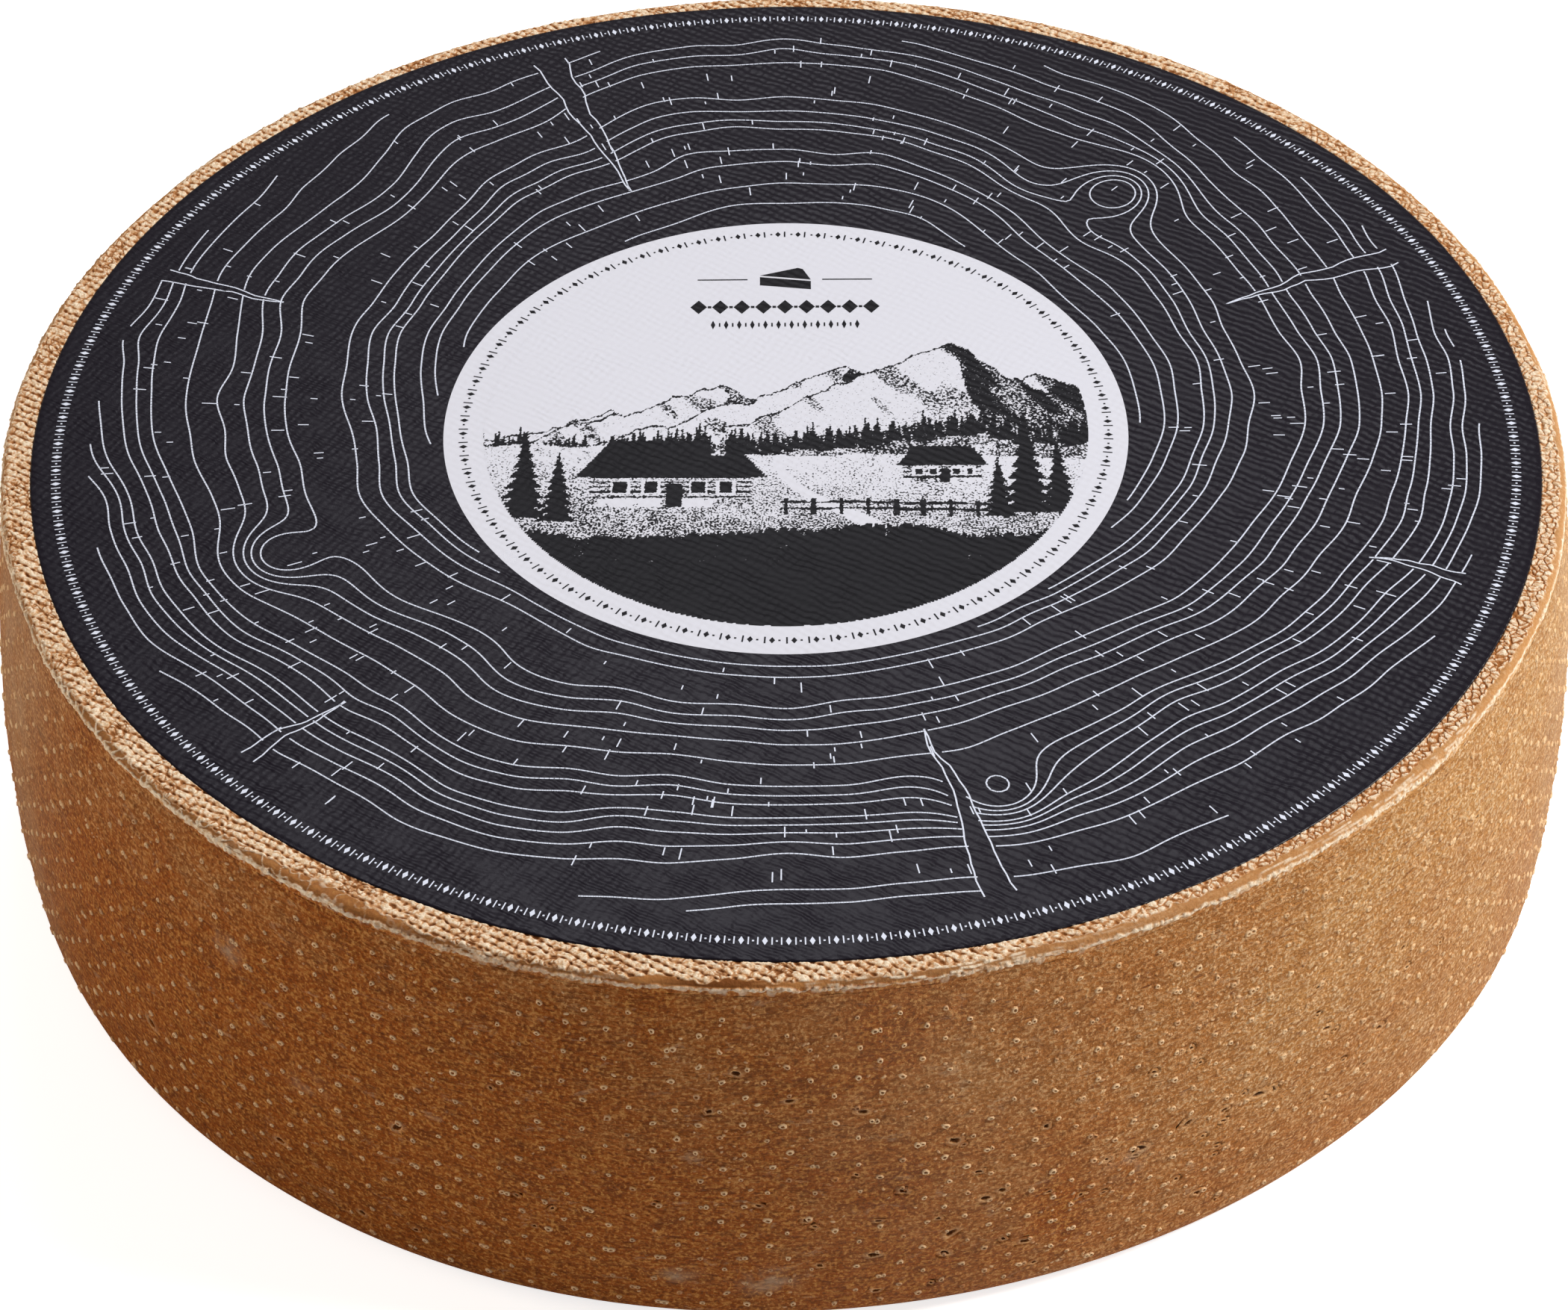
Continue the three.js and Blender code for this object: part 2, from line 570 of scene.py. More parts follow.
def ring_arcs(name, top, behind, tones):
    """Cuts a ring into closed arcs: its shown grid, the hidden rows behind it, and a cap at each end."""
    normals = np.concatenate([ring_normals(top), np.zeros(behind.shape)])
    section = np.concatenate([top, behind])
    rows, total = section.shape[:2]
    in_arc = total // len(arc_names)
    arcs = []
    for i, arc_name in enumerate(arc_names):
        columns = np.arange(i * in_arc, (i + 1) * in_arc + 1)
        width = len(columns)
        columns = columns % total
        first, last = np.arange(width), np.arange(width) + (rows - 1) * width
        back_faces = np.stack([last[:-1], last[1:], first[1:], first[:-1]], axis=1)
        near_end = np.arange(rows) * width
        caps = [near_end[None, :], (near_end + width - 1)[None, ::-1]]
        shown = {
            tone: np.concatenate([values[:, columns], np.zeros((len(behind), width))]).ravel()
            for tone, values in tones.items()
        }
        faces = [grid_faces(rows, width), back_faces, *caps]
        arc = mesh_piece(f"{name}_{arc_name}", section[:, columns].reshape(-1, 3), faces, **shown)
        arc.data.normals_split_custom_set_from_vertices(normals[:, columns].reshape(-1, 3))
        arcs.append(arc)
    return arcs


# %% [markdown]
# ## The side of the cheese
#
# The side's points are a grid: one parameter goes round the wheel, and the other up the profile, from the
# base round the foot and up to just under the rim. Where a pit will sit, the skin is pushed in to make
# room for its bowl.

# %% Places of the pits
pit_groups = (  # degrees, height, spread in degrees, spread in height, how many
    (-80, 30, 9, 12, 18),
    (-60, 34, 10, 16, 26),
    (-118, 34, 14, 16, 12),
    (-44, 42, 9, 16, 16),
    (-93, 62, 5, 8, 2),
    (20, 40, 25, 20, 9),
    (95, 38, 40, 18, 16),
    (165, 40, 18, 18, 10),
)
pit_turns = np.concatenate([chance.normal(mid, spread, many) for mid, _, spread, _, many in pit_groups])
pit_turns = np.radians(pit_turns)
pit_heights = np.concatenate([chance.normal(mid, spread, many) for _, mid, _, spread, many in pit_groups])
pit_heights = np.clip(pit_heights, 9, wheel_height - 9)
pit_half_height = 0.28 + 0.5 * chance.random(len(pit_turns)) ** 2
pit_half_width = pit_half_height * chance.uniform(1.1, 2.2, len(pit_turns))
pit_lean = chance.normal(0, 0.35, len(pit_turns))
pit_room = 1.1  # how far the skin gives way, in millimetres
pit_margin = 0.2  # and how far past the pit's edge
print(len(pit_turns), "pits")


def pit_share(turn, height):
    """1 inside the ellipse of a pit and 0 a little outside it, for a grid of turns and heights."""
    share = np.zeros(turn.shape)
    pits = zip(pit_turns, pit_heights, pit_half_width, pit_half_height)
    for centre, level, half_width, half_height in pits:
        across = np.radians(apart(turn, np.degrees(centre))) * foot_radius / (half_width + pit_margin)
        up = (height - level) / (half_height + pit_margin)
        share = np.maximum(share, 1 - ease(np.hypot(across, up), 1, 1.5))
    return share


# %% Side
side_columns = 4 * 400
side_step = 0.6
hidden_under_rim = 0.7  # the rim piece covers the top of the side
foot_turns = np.linspace(0, np.pi / 2, 11)
foot_heights = foot_rounding * (1 - np.cos(foot_turns))
side_top = wheel_height - shoulder_drop - hidden_under_rim
side_heights = np.arange(foot_rounding + side_step, side_top, side_step)
skin_heights = np.concatenate([foot_heights, side_heights])
turns = np.linspace(-np.pi, np.pi, side_columns, endpoint=False)
turn_grid, height_grid = np.meshgrid(turns, skin_heights)
skin = on_side(turn_grid, height_grid, -pit_room * pit_share(turn_grid, height_grid))
base_ring_radius = 136  # where the base's disc takes over
wall = 5  # how far in the hidden rows lie
outline = out_of_round(turns, 0)
behind_side = np.stack(
    [
        from_axis(turns, (face_radius - wall) * out_of_round(turns, wheel_height), side_heights[-1]),
        from_axis(turns, base_ring_radius * outline, wall),
        from_axis(turns, base_ring_radius * outline, 0),
    ]
)
for arc in ring_arcs("side", skin, behind_side, rind_tones(skin)):
    finish_piece(arc, washed_rind, "cheese")

# %% [markdown]
# ## The rim that kept the weave of its cloth
#
# The wheel was pressed in cheesecloth, a plain weave of threads 1.2 mm apart. Each crossing left a
# hollow, so the hollows are a square lattice 1.7 mm apart that lies at an angle to the threads, and the
# paste between them rose as cream crumbs with fine cracks round each. Outside the cloth's marks comes a
# smooth ledge, then the flash line: a ragged ridge where paste was squeezed between the mould and its
# lid. All of this stands a few tenths of a millimetre high, so it is real relief on a fine grid, and the
# deeper a place lies, the browner it is.

# %% The weave as a height
mark_pitch = 1.71
mark_angle = 57  # degrees from +X to the direction across the main ridges


def cloth_marks(points, warp):
    """What the cloth pressed in, from 0 to 1, on its lattice bent by noise. With a and b the angles of the
    two waves: slots are exp(s (cos a - 1) + t (cos b - 1)), and lie along the main ridges because t is
    smaller than s, seams are exp(k (cos a - 1)) or the same of b, thin lines that join the slots, and
    pillows are sqrt((1 - cos a) (1 - cos b)) / 2, highest in the middle between four slots."""
    layers = ((6, 0.34), (2.1, 0.36), (0.8, 0.26))
    drift = np.stack([layered_noise(points, layers, seed) for seed in (51, 61)], axis=-1)
    plane = points[..., :2] + drift * warp[..., None]
    first, second = np.radians(mark_angle), np.radians(mark_angle - 90)
    scale = 2 * np.pi / mark_pitch
    a = scale * (plane[..., 0] * np.cos(first) + plane[..., 1] * np.sin(first))
    b = scale * (plane[..., 0] * np.cos(second) + plane[..., 1] * np.sin(second))
    slots = np.exp(2.0 * (np.cos(a) - 1) + 0.5 * (np.cos(b) - 1))
    seams = np.exp(5 * (np.maximum(np.cos(a), np.cos(b)) - 1))
    pillows = np.sqrt((1 - np.cos(a)) * (1 - np.cos(b))) / 2
    return slots, seams, pillows


# %% Where the rim's parts lie
ledge_plain = 0.95
ledge_places = (  # degrees, half width, how much wider the ledge is there
    (-122.5, 5, 1.9),
    (-109, 7, -0.6),
    (-86, 4, -0.5),
    (-46, 17, 0.95),
    (-165, 22, -0.5),
    (60, 30, 0.3),
)
rim_columns = 4 * 1080
down_side = 3.2  # how far the rim piece reaches down the side
rim_inner = 143.2
edge_width = shoulder_radius - face_radius
edge_length = np.pi / 2 * np.sqrt((edge_width**2 + shoulder_drop**2) / 2)
face_rows = 38

ring_turns = np.linspace(-np.pi, np.pi, rim_columns, endpoint=False)
flash_radius = rind_radius(ring_turns, wheel_height - shoulder_drop)
face_length = flash_radius - edge_width - rim_inner
edge_runs = np.concatenate(
    [np.linspace(-down_side, -0.9, 9), np.linspace(-0.75, 0.75, 13), np.linspace(0.9, edge_length, 8)]
)
face_share = np.arange(1, face_rows + 1) / face_rows
runs = np.concatenate(
    [
        np.broadcast_to(edge_runs[:, None], (len(edge_runs), rim_columns)),
        edge_length + face_share[:, None] * face_length,
    ]
)
turn_grid = np.broadcast_to(ring_turns, runs.shape)


def rim_section(turn, run):
    """Radius, height and lean of the normal at a run, which is the distance inwards along the section from
    the flash line: down the side below 0, then round a quarter ellipse, then along the flat face."""
    angle = np.clip(run / edge_length, 0, 1) * np.pi / 2
    flash_height = wheel_height - shoulder_drop
    height = flash_height + np.minimum(run, 0) + shoulder_drop * np.sin(angle)
    side = rind_radius(turn, np.minimum(height, flash_height))
    radius = side - edge_width * (1 - np.cos(angle)) - np.maximum(run - edge_length, 0)
    return radius, height, angle


radius_grid, height_grid, lean_grid = rim_section(turn_grid, runs)
smooth_rim = from_axis(turn_grid, radius_grid, height_grid)

ledge_width = ledge_plain + sum(
    extra * near(turn_grid, place, half_width) for place, half_width, extra in ledge_places
)
# Stretches where the rim differs, each 1 in its middle: right, left, where the flash line frills, front.
right_side = ease(np.cos(turn_grid - np.radians(-15)), 0.35, 0.9)
left_side = ease(np.cos(turn_grid - np.radians(-155)), 0.72, 0.97)
frill = near(turn_grid, -134, 5) + 0.7 * near(turn_grid, -111, 4)
front_side = near(turn_grid, -103, 15)
from_label = np.hypot(*(smooth_rim[..., :2] - label_middle).T).T
under_label = 1 - ease(from_label, label_radius - 0.15, label_radius + 0.2)

# %% Marks of the cloth, and the crumbs between them
crumb_size, small_crumb_size = 1.5, 0.85  # millimetres
crumb_reach = 0.7  # how far a crumb's dome reaches, as a share of its size
slots, seams, pillows = cloth_marks(smooth_rim, 1.1 + 0.6 * right_side)
bend = np.stack([soft_noise(smooth_rim, 1.4, seed) for seed in (54, 64)], axis=-1)
bent = smooth_rim[..., :2] + 0.55 * bend
nearest, following = crumb_cells(bent, crumb_size, 57)
crumbled = np.maximum(0.7 * ease(soft_noise(smooth_rim, 5, 67), -0.2, 0.5), right_side)
cracks = (1 - ease(following - nearest, 0.03, 0.24)) * crumbled
small_nearest, small_following = crumb_cells(bent, small_crumb_size, 59)
small_cracks = 1 - ease(small_following - small_nearest, 0.03, 0.3)
joined = ease(soft_noise(smooth_rim, 1.3, 69), -0.35, 0.45) * (1 - 0.8 * right_side)
clear = np.clip(1.1 + 0.5 * soft_noise(smooth_rim, 2.7, 71) - 0.5 * right_side, 0.15, 1.3)
crumbly = 0.16 * layered_noise(smooth_rim, ((0.9, 1.0), (0.5, 0.8)), 75)
hollow = np.maximum.reduce([clear * slots, 0.5 * joined * seams, 0.9 * cracks, 0.28 * small_cracks])
hollow = np.clip(hollow + crumbly, 0, 1)
dome = (1 - right_side) * pillows + right_side * (1 - np.minimum(nearest / crumb_reach, 1) ** 2)
dome = 0.55 * dome + 0.45 * (1 - np.minimum(small_nearest / crumb_reach, 1) ** 2)

# %% [markdown]
# The flash line wanders, and noise changes its width. Beads of paste cling to it, threads of curd hang
# over it on the left, and on the front short strands lie in rows on the ledge. Each is a tone from 0 to
# 1, worked out from the distance to the line that it follows.

# %% Ledge, flash line and what clings to it
bead_size = 0.95  # millimetres
inward = flash_radius - radius_grid
ragged = layered_noise(smooth_rim, ((4.5, 0.35), (1.6, 0.4), (0.7, 0.25)), 73)
cloth = ease(inward + ragged - ledge_width, -0.1, 0.12)
wander = layered_noise(smooth_rim, ((9, 0.25), (2.6, 0.22), (1.1, 0.24), (0.6, 0.14)), 81)
flash_half = 0.27 + 0.14 * left_side + 0.3 * frill + 0.08 * right_side
flash_half = flash_half + layered_noise(smooth_rim, ((5, 0.14), (1.3, 0.26), (0.6, 0.26)), 85)
off_line = runs - 0.05 + wander
flash = ease(1 - np.abs(off_line) / np.maximum(flash_half, 0.04), 0, 0.4)
flash = flash * (0.9 + 0.5 * soft_noise(smooth_rim, 0.6, 88) + 0.2 * np.maximum(right_side, left_side))
bead_reach = 0.45 + 0.2 * left_side + 0.4 * frill + 0.25 * right_side
bead_centres, _ = crumb_cells(np.stack([turn_grid * flash_radius, runs], axis=-1), bead_size, 79)
beads = ease(0.55 - bead_centres, 0, 0.3) * ease(bead_reach - np.abs(off_line), 0, 0.3)
beads = beads * ease(soft_noise(smooth_rim, 3.4, 77), -0.45, 0.2)
fallen = ease(0.42 - bead_centres, 0, 0.2) * ease(runs, -2.6, -0.4) * (1 - ease(runs, 0, 0.3))
fallen = fallen * right_side * ease(soft_noise(smooth_rim, 1.6, 78), 0, 0.35)
threads = ease(0.13 - np.abs(soft_noise(smooth_rim, 1.7, 90)), 0, 0.08) * np.maximum(left_side, frill)
threads = threads * ease(runs + 0.5 * soft_noise(smooth_rim, 1.1, 92), -0.9, -0.3) * (1 - cloth)
flash = np.maximum.reduce([flash, beads, threads, 0.7 * fallen])
streaks = np.stack([turn_grid * flash_radius, runs / 2.2], axis=-1)
strand_places = near(turn_grid, -80, 9) + 0.7 * ease(soft_noise(smooth_rim, 17, 91), 0.25, 0.5)
strands = np.zeros(runs.shape)
for level, seed in ((0.62, 121), (1.1, 122), (1.6, 123)):  # rows, millimetres in from the line
    off_row = np.abs(runs - level - 0.3 * soft_noise(smooth_rim, 4, seed))
    dashes = ease(soft_noise(smooth_rim, 2.1, seed + 9), -0.1, 0.15)
    strands = np.maximum(strands, ease(0.25 - off_row, 0, 0.1) * dashes)
strands = strands * np.clip(strand_places, 0, 1) * (1 - cloth)
smear_fade = ease(runs, -2.2, -0.1) * (1 - ease(runs, 0, 0.3))
smear = layered_noise(streaks, ((1.9, 0.5), (0.7, 0.6)), 93) + 0.8 * smear_fade
smear = ease(smear, 0.75, 1.15) * smear_fade

# %% [markdown]
# Each tone now adds its share of a millimetre to the rise above the smooth section. The same tones travel
# with the mesh as attributes, so that colour and relief agree.

# %% Rise and tones of the rim
flash_cream = 0.66 + 0.34 * np.maximum(right_side, left_side)
cream = np.clip(np.maximum.reduce([cloth, flash * flash_cream, strands, 0.5 * smear]), 0, 1)
fine = layered_noise(smooth_rim, ((1.1, 0.07), (0.55, 0.08)), 95)
sunken = (0.46 - 0.12 * right_side) * hollow
ridge = (0.24 * flash + 0.16 * beads) * (1 - 0.5 * right_side)
rise = cloth * (0.2 + 0.12 * dome - sunken) + ridge + 0.14 * strands + 0.06 * smear
rise = rise + fine * (0.25 + 0.75 * cream)
rise = rise + layered_noise(smooth_rim, side_layers[:3], 11) * (1 - ease(runs, 0, edge_length))
rise = rise - 0.45 * ease(-runs, 0.8, down_side)
rise = rise * (1 - under_label) - 0.12 * under_label
rim_top = from_axis(
    turn_grid, radius_grid + rise * np.cos(lean_grid), height_grid + rise * np.sin(lean_grid)
)
behind_rim = np.stack(
    [
        from_axis(ring_turns, np.full(rim_columns, rim_inner), wheel_height - 1.6),
        from_axis(ring_turns, flash_radius - 2.4, wheel_height - shoulder_drop - down_side),
    ]
)
on_ledge = (1 - cloth) * ease(runs, 0.2, 0.6)
rim_tones = rind_tones(smooth_rim)
plain_side = 1 - np.maximum(right_side, left_side)
dark_ledge = on_ledge * near(turn_grid, -94.5, 6) * (1 - np.maximum(flash, strands))
rim_tones["scuff_and_reflection"] = np.maximum(rim_tones["scuff_and_reflection"], 0.3 * plain_side * np.maximum(flash, smear))
cleaned = 0.45 * near(turn_grid, 2, 14)
rim_tones["hollow"] = np.maximum((1 - cleaned) * hollow * cloth, 0.75 * dark_ledge)
rim_tones["damp"] = np.clip(0.55 + 0.55 * front_side - 0.5 * right_side, 0, 1)
rim_tones["cream"] = cream
rim_tones["smooth"] = on_ledge

# %% [markdown]
# The crumbs are dry curd, a pale cream with a little pink in it. Round each hollow the smear soaked in
# and stained the curd orange, and in the hollow itself it dried to a brown. So the colour is laid in
# layers over the skin's own: the plain ledge, the curd, the stain and the dried smear, each with a share
# for where it shows. The last two follow the depth of the hollows.

# %% Material of the rim
dry_curd = "#f1e1c8"
curd_shade = "#d2ae86"
curd_stain = "#bf834a"
smear_tan = "#9c5f2a"
smear_brown = "#6f3d15"
ledge_tan = "#b98653"
ledge_brown = "#7b5029"
ledge_cover = 0.72
crumb_grain = 0.0008  # metres

cloth_marked_rind, tree = new_material("cloth_marked_rind")
skin_colour, _ = rind_colour(tree)
cream_tone, hollow_tone, smooth_tone, damp_tone = (
    add_node(tree, "ShaderNodeAttribute", {"attribute_name": tone}).outputs["Fac"]
    for tone in ("cream", "hollow", "smooth", "damp")
)
place = add_node(tree, "ShaderNodeTexCoord").outputs["Object"]
crumbs = add_node(
    tree,
    "ShaderNodeTexNoise",
    inputs={"Vector": place, "Scale": 1 / crumb_grain, "Detail": 3.0, "Roughness": 0.65},
).outputs["Fac"]
crumb_share, stain_share, hollow_share = (
    add_node(
        tree,
        "ShaderNodeMapRange",
        inputs={"Value": tone, "From Min": low, "From Max": high, "To Max": most},
    ).outputs["Result"]
    for tone, low, high, most in (
        (crumbs, 0.36, 0.56, 1.0),
        (hollow_tone, 0.1, 0.38, 0.85),
        (hollow_tone, 0.3, 0.68, 0.95),
    )
)
ledge_share = add_node(
    tree, "ShaderNodeMath", {"operation": "MULTIPLY"}, {0: smooth_tone, 1: ledge_cover}
).outputs[0]
curd, ledge_colour, smear_colour = (
    add_node(
        tree, "ShaderNodeMix", COLOURS, {SHARE: share, BELOW: linear(below), ABOVE: linear(above)}
    ).outputs[MIXED]
    for share, below, above in (
        (crumb_share, curd_shade, dry_curd),
        (damp_tone, ledge_tan, ledge_brown),
        (damp_tone, smear_tan, smear_brown),
    )
)
colour = skin_colour
for share, layer in (
    (ledge_share, ledge_colour),
    (cream_tone, curd),
    (stain_share, linear(curd_stain)),
    (hollow_share, smear_colour),
):
    colour = add_node(
        tree, "ShaderNodeMix", COLOURS, {SHARE: share, BELOW: colour, ABOVE: layer}
    ).outputs[MIXED]
bump = add_node(tree, "ShaderNodeBump", inputs={"Height": crumbs, "Strength": 1.0, "Distance": 0.00022})
end_with(tree, Base_Color=colour, Roughness=0.7, Specular_IOR_Level=0.18, Normal=bump.outputs["Normal"])
for arc in ring_arcs("rim", rim_top, behind_rim, rim_tones):
    finish_piece(arc, cloth_marked_rind, "cheese")

# %% [markdown]
# ## The base
#
# The wheel was turned in the press, so its base was in the cloth too, but the ripening board has rubbed
# those marks nearly flat. A disc closes the ring of the side from below, a fraction of a millimetre clear
# of the floor where it is uneven.

# %% Base
base_columns = 360
base_radii = np.concatenate([np.linspace(3, base_ring_radius - 4, 34), [base_ring_radius]])
turns = np.linspace(-np.pi, np.pi, base_columns, endpoint=False)
turn_grid, radius_grid = np.meshgrid(turns, base_radii)
flat_base = from_axis(turn_grid, radius_grid * out_of_round(turn_grid, 0), 0)
rough = 0.12 + layered_noise(flat_base, ((22, 0.08), (6, 0.04)), 97)
flat_base[..., 2] = np.clip(rough, 0, 1) * ease(radius_grid, base_ring_radius, base_ring_radius - 4)
inside = flat_base[-1:] + (0, 0, wall - 1)
rings = np.concatenate([flat_base, inside])
poles = np.array([[*axis, 0.1], [*axis, wall - 1]])
last_ring = np.arange(base_columns) + (len(rings) - 1) * base_columns
faces = [
    grid_faces(len(rings), base_columns, joined=True),
    fan_faces(np.arange(base_columns)[::-1], len(rings) * base_columns),
    fan_faces(last_ring, len(rings) * base_columns + 1),
]
points = np.concatenate([rings.reshape(-1, 3), poles])
slots, _, _ = cloth_marks(points, np.full(len(points), 0.6))
rubbed = np.clip(0.5 + layered_noise(points, ((24, 0.45), (8, 0.3)), 99), 0, 1)
base_tones = {"cream": 0.35 * rubbed, "hollow": 0.35 * rubbed * slots, "damp": 0.5, "smooth": 0.0}
base_skin = mesh_piece("base_skin", points, faces, **base_tones, **rind_tones(points))
finish_piece(base_skin, cloth_marked_rind, "cheese")

# %% [markdown]
# ## Mould marks in rows
#
# The mould is a drum of plastic with rows of drain holes, and each hole left a nipple of paste that dried
# to a small pale ring with a dark middle. They stand in rows 3.4 mm apart, with 8 mm from one to the next
# and every second row moved by half a step. Each mark is a middle point and four rings of seven points,
# and thousands of them are one mesh: the profile's array is added to the array of places, with no loop.

# %% Small turned shapes on the side
marks_in_a_row = 120
row_pitch = 3.44
first_row = 6.5
mark_rows = 22


def scatter(name, turn, height, size, profile, sides, stretch, lean, **tones):
    """Small turned shapes on the side. The profile lists (radius, lift, tone) outwards, in shares of each
    size: a shape's point is at its place + size * radius * (cos, sin), and stands size * lift proud of the
    rind."""
    count = len(turn)
    rings = np.array(profile)
    spokes = np.linspace(0, 2 * np.pi, sides, endpoint=False)
    wobble = 1 + 0.16 * chance.normal(size=(count, 1, sides))
    size, stretch, lean = (np.broadcast_to(value, count)[:, None, None] for value in (size, stretch, lean))
    reach = rings[1:, 0][None, :, None] * size * wobble
    along, over = reach * np.cos(spokes) * stretch, reach * np.sin(spokes)
    across = along * np.cos(lean) - over * np.sin(lean)
    up = along * np.sin(lean) + over * np.cos(lean)
    lift = np.broadcast_to(rings[1:, 1][None, :, None] * size, across.shape)
    middle = np.zeros((count, 1))
    across = np.concatenate([middle, across.reshape(count, -1)], axis=1)
    up = np.concatenate([middle, up.reshape(count, -1)], axis=1)
    lift = np.concatenate([rings[0, 1] * size[:, :, 0], lift.reshape(count, -1)], axis=1)
    share = np.repeat(rings[:, 2], [1] + [sides] * (len(rings) - 1))
    points = on_side(turn[:, None] + across / foot_radius, height[:, None] + up, lift).reshape(-1, 3)
    in_one = 1 + sides * (len(rings) - 1)
    spoke = np.arange(sides)
    centre_faces = np.stack([np.zeros(sides, int), 1 + spoke, 1 + (spoke + 1) % sides], axis=1)
    ring_faces = 1 + grid_faces(len(rings) - 1, sides, joined=True)[:, [0, 3, 2, 1]]
    starts = np.arange(count)[:, None, None] * in_one
    face_sets = [(centre_faces[None] + starts).reshape(-1, 3), (ring_faces[None] + starts).reshape(-1, 4)]
    own = {
        tone: (np.broadcast_to(values, count)[:, None] * share).ravel() for tone, values in tones.items()
    }
    return mesh_piece(name, points, face_sets, **own, **rind_tones(points))


# %% Rings
turn_jitter, height_jitter = 0.0022, 0.22  # radians, millimetres
missing_share = 0.1
doubled_share = 0.09
twin_step = 0.9
row, column = np.meshgrid(np.arange(mark_rows), np.arange(marks_in_a_row), indexing="ij")
mark_turns = (column + 0.5 * (row % 2)).ravel() * 2 * np.pi / marks_in_a_row
mark_turns = mark_turns + chance.normal(0, turn_jitter, mark_turns.size)
mark_heights = first_row + row_pitch * row.ravel() + chance.normal(0, height_jitter, mark_turns.size)
kept = chance.random(mark_turns.size) > missing_share
mark_turns, mark_heights = mark_turns[kept], mark_heights[kept]
doubled = chance.random(mark_turns.size) < doubled_share
twin_side = chance.choice([-1, 1], doubled.sum())
twin_turns = mark_turns[doubled] + twin_side * twin_step / foot_radius
twin_heights = mark_heights[doubled] + chance.normal(0, 0.15, twin_turns.size)
mark_turns = np.concatenate([mark_turns, twin_turns])
mark_heights = np.concatenate([mark_heights, twin_heights])
ring_profile = (  # radius, lift, tone
    (0, -0.2, -0.6),
    (0.34, -0.1, -0.45),
    (0.66, 0.62, 1.0),
    (1.0, 0.45, 0.75),
    (1.4, -0.3, 0.0),
)
mould_marks = scatter(
    "mould_marks",
    mark_turns,
    mark_heights,
    size=chance.uniform(0.36, 0.55, mark_turns.size),
    profile=ring_profile,
    sides=7,
    stretch=chance.uniform(0.95, 1.3, mark_turns.size),
    lean=chance.normal(0, 0.3, mark_turns.size),
    pale=np.clip(chance.normal(0.84, 0.24, mark_turns.size), 0.15, 1),
)

# %% Grains
grain_count = 14000
grain_turns = chance.uniform(-np.pi, np.pi, grain_count)
grain_heights = chance.uniform(5, wheel_height - 3, grain_count)
grain_places = from_axis(grain_turns, rind_radius(grain_turns, grain_heights), grain_heights)
# The grains follow the same tone, so they are densest where the rind is pale, on the lit right too.
dryness_and_painted_light = 1.05 - ripeness_and_painted_light(grain_places) + 0.5 * soft_noise(grain_places, 9, 101)
kept = chance.random(grain_count) < dryness_and_painted_light
grain_turns, grain_heights = grain_turns[kept], grain_heights[kept]
grain_profile = ((0, 0.42, 1.0), (0.55, 0.34, 0.95), (1.1, -0.25, 0.1))
rind_grains = scatter(
    "rind_grains",
    grain_turns,
    grain_heights,
    size=chance.uniform(0.2, 0.44, grain_turns.size),
    profile=grain_profile,
    sides=6,
    stretch=chance.uniform(0.9, 1.9, grain_turns.size),
    lean=chance.normal(0.35, 0.5, grain_turns.size),
    pale=np.clip(chance.normal(0.3, 0.2, grain_turns.size), 0.02, 0.9),
)

# %% [markdown]
# The rings are drier than the rind round them, so they are paler and duller, and damp dark smear stays in
# their middles. The tone `pale` runs below zero there, and the material reads both ends of it.

# %% Material of rings and grains
ring_pale = "#f0cfa4"
ring_dark = "#5f3517"

dry_nipples, tree = new_material("dry_paste_nipples")
skin_colour, relief = rind_colour(tree)
pale = add_node(tree, "ShaderNodeAttribute", {"attribute_name": "pale"}).outputs["Fac"]
pale_share = add_node(tree, "ShaderNodeMapRange", inputs={"Value": pale}).outputs["Result"]
paled = add_node(
    tree, "ShaderNodeMix", COLOURS, {SHARE: pale_share, BELOW: skin_colour, ABOVE: linear(ring_pale)}
).outputs[MIXED]
dark = add_node(
    tree, "ShaderNodeMapRange", inputs={"Value": pale, "From Min": -0.02, "From Max": -0.35, "To Max": 0.85}
).outputs["Result"]
ringed = add_node(
    tree, "ShaderNodeMix", COLOURS, {SHARE: dark, BELOW: paled, ABOVE: linear(ring_dark)}
).outputs[MIXED]
bump = add_node(tree, "ShaderNodeBump", inputs={"Height": relief, "Strength": 0.6, "Distance": 0.0002})
end_with(tree, Base_Color=ringed, Roughness=0.7, Specular_IOR_Level=0.16, Normal=bump.outputs["Normal"])
finish_piece(mould_marks, dry_nipples, "cheese")
finish_piece(rind_grains, dry_nipples, "cheese")

# %% [markdown]
# A pit is the same kind of turned shape with its middle sunk into the room that the skin made. Its inside
# is painted dark brown, partly damp smear and partly painted shade, and its lip dried pale, which the
# material reads from the two ends of one tone, `damp`.

# %% Pits
pit_profile = (  # radius, lift, tone
    (0, -1.3, 1.0),
    (0.5, -1.05, 0.95),
    (0.82, -0.42, 0.6),
    (1.0, 0.06, -0.5),
    (1.4, 0.16, -0.2),
    (2.6, -0.25, 0.0),
)
rind_pits = scatter(
    "rind_pits",
    pit_turns,
    pit_heights,
    size=pit_half_height,
    profile=pit_profile,
    sides=11,
    stretch=pit_half_width / pit_half_height,
    lean=pit_lean,
    damp=1.0,
)
pit_lip = "#e0bd90"
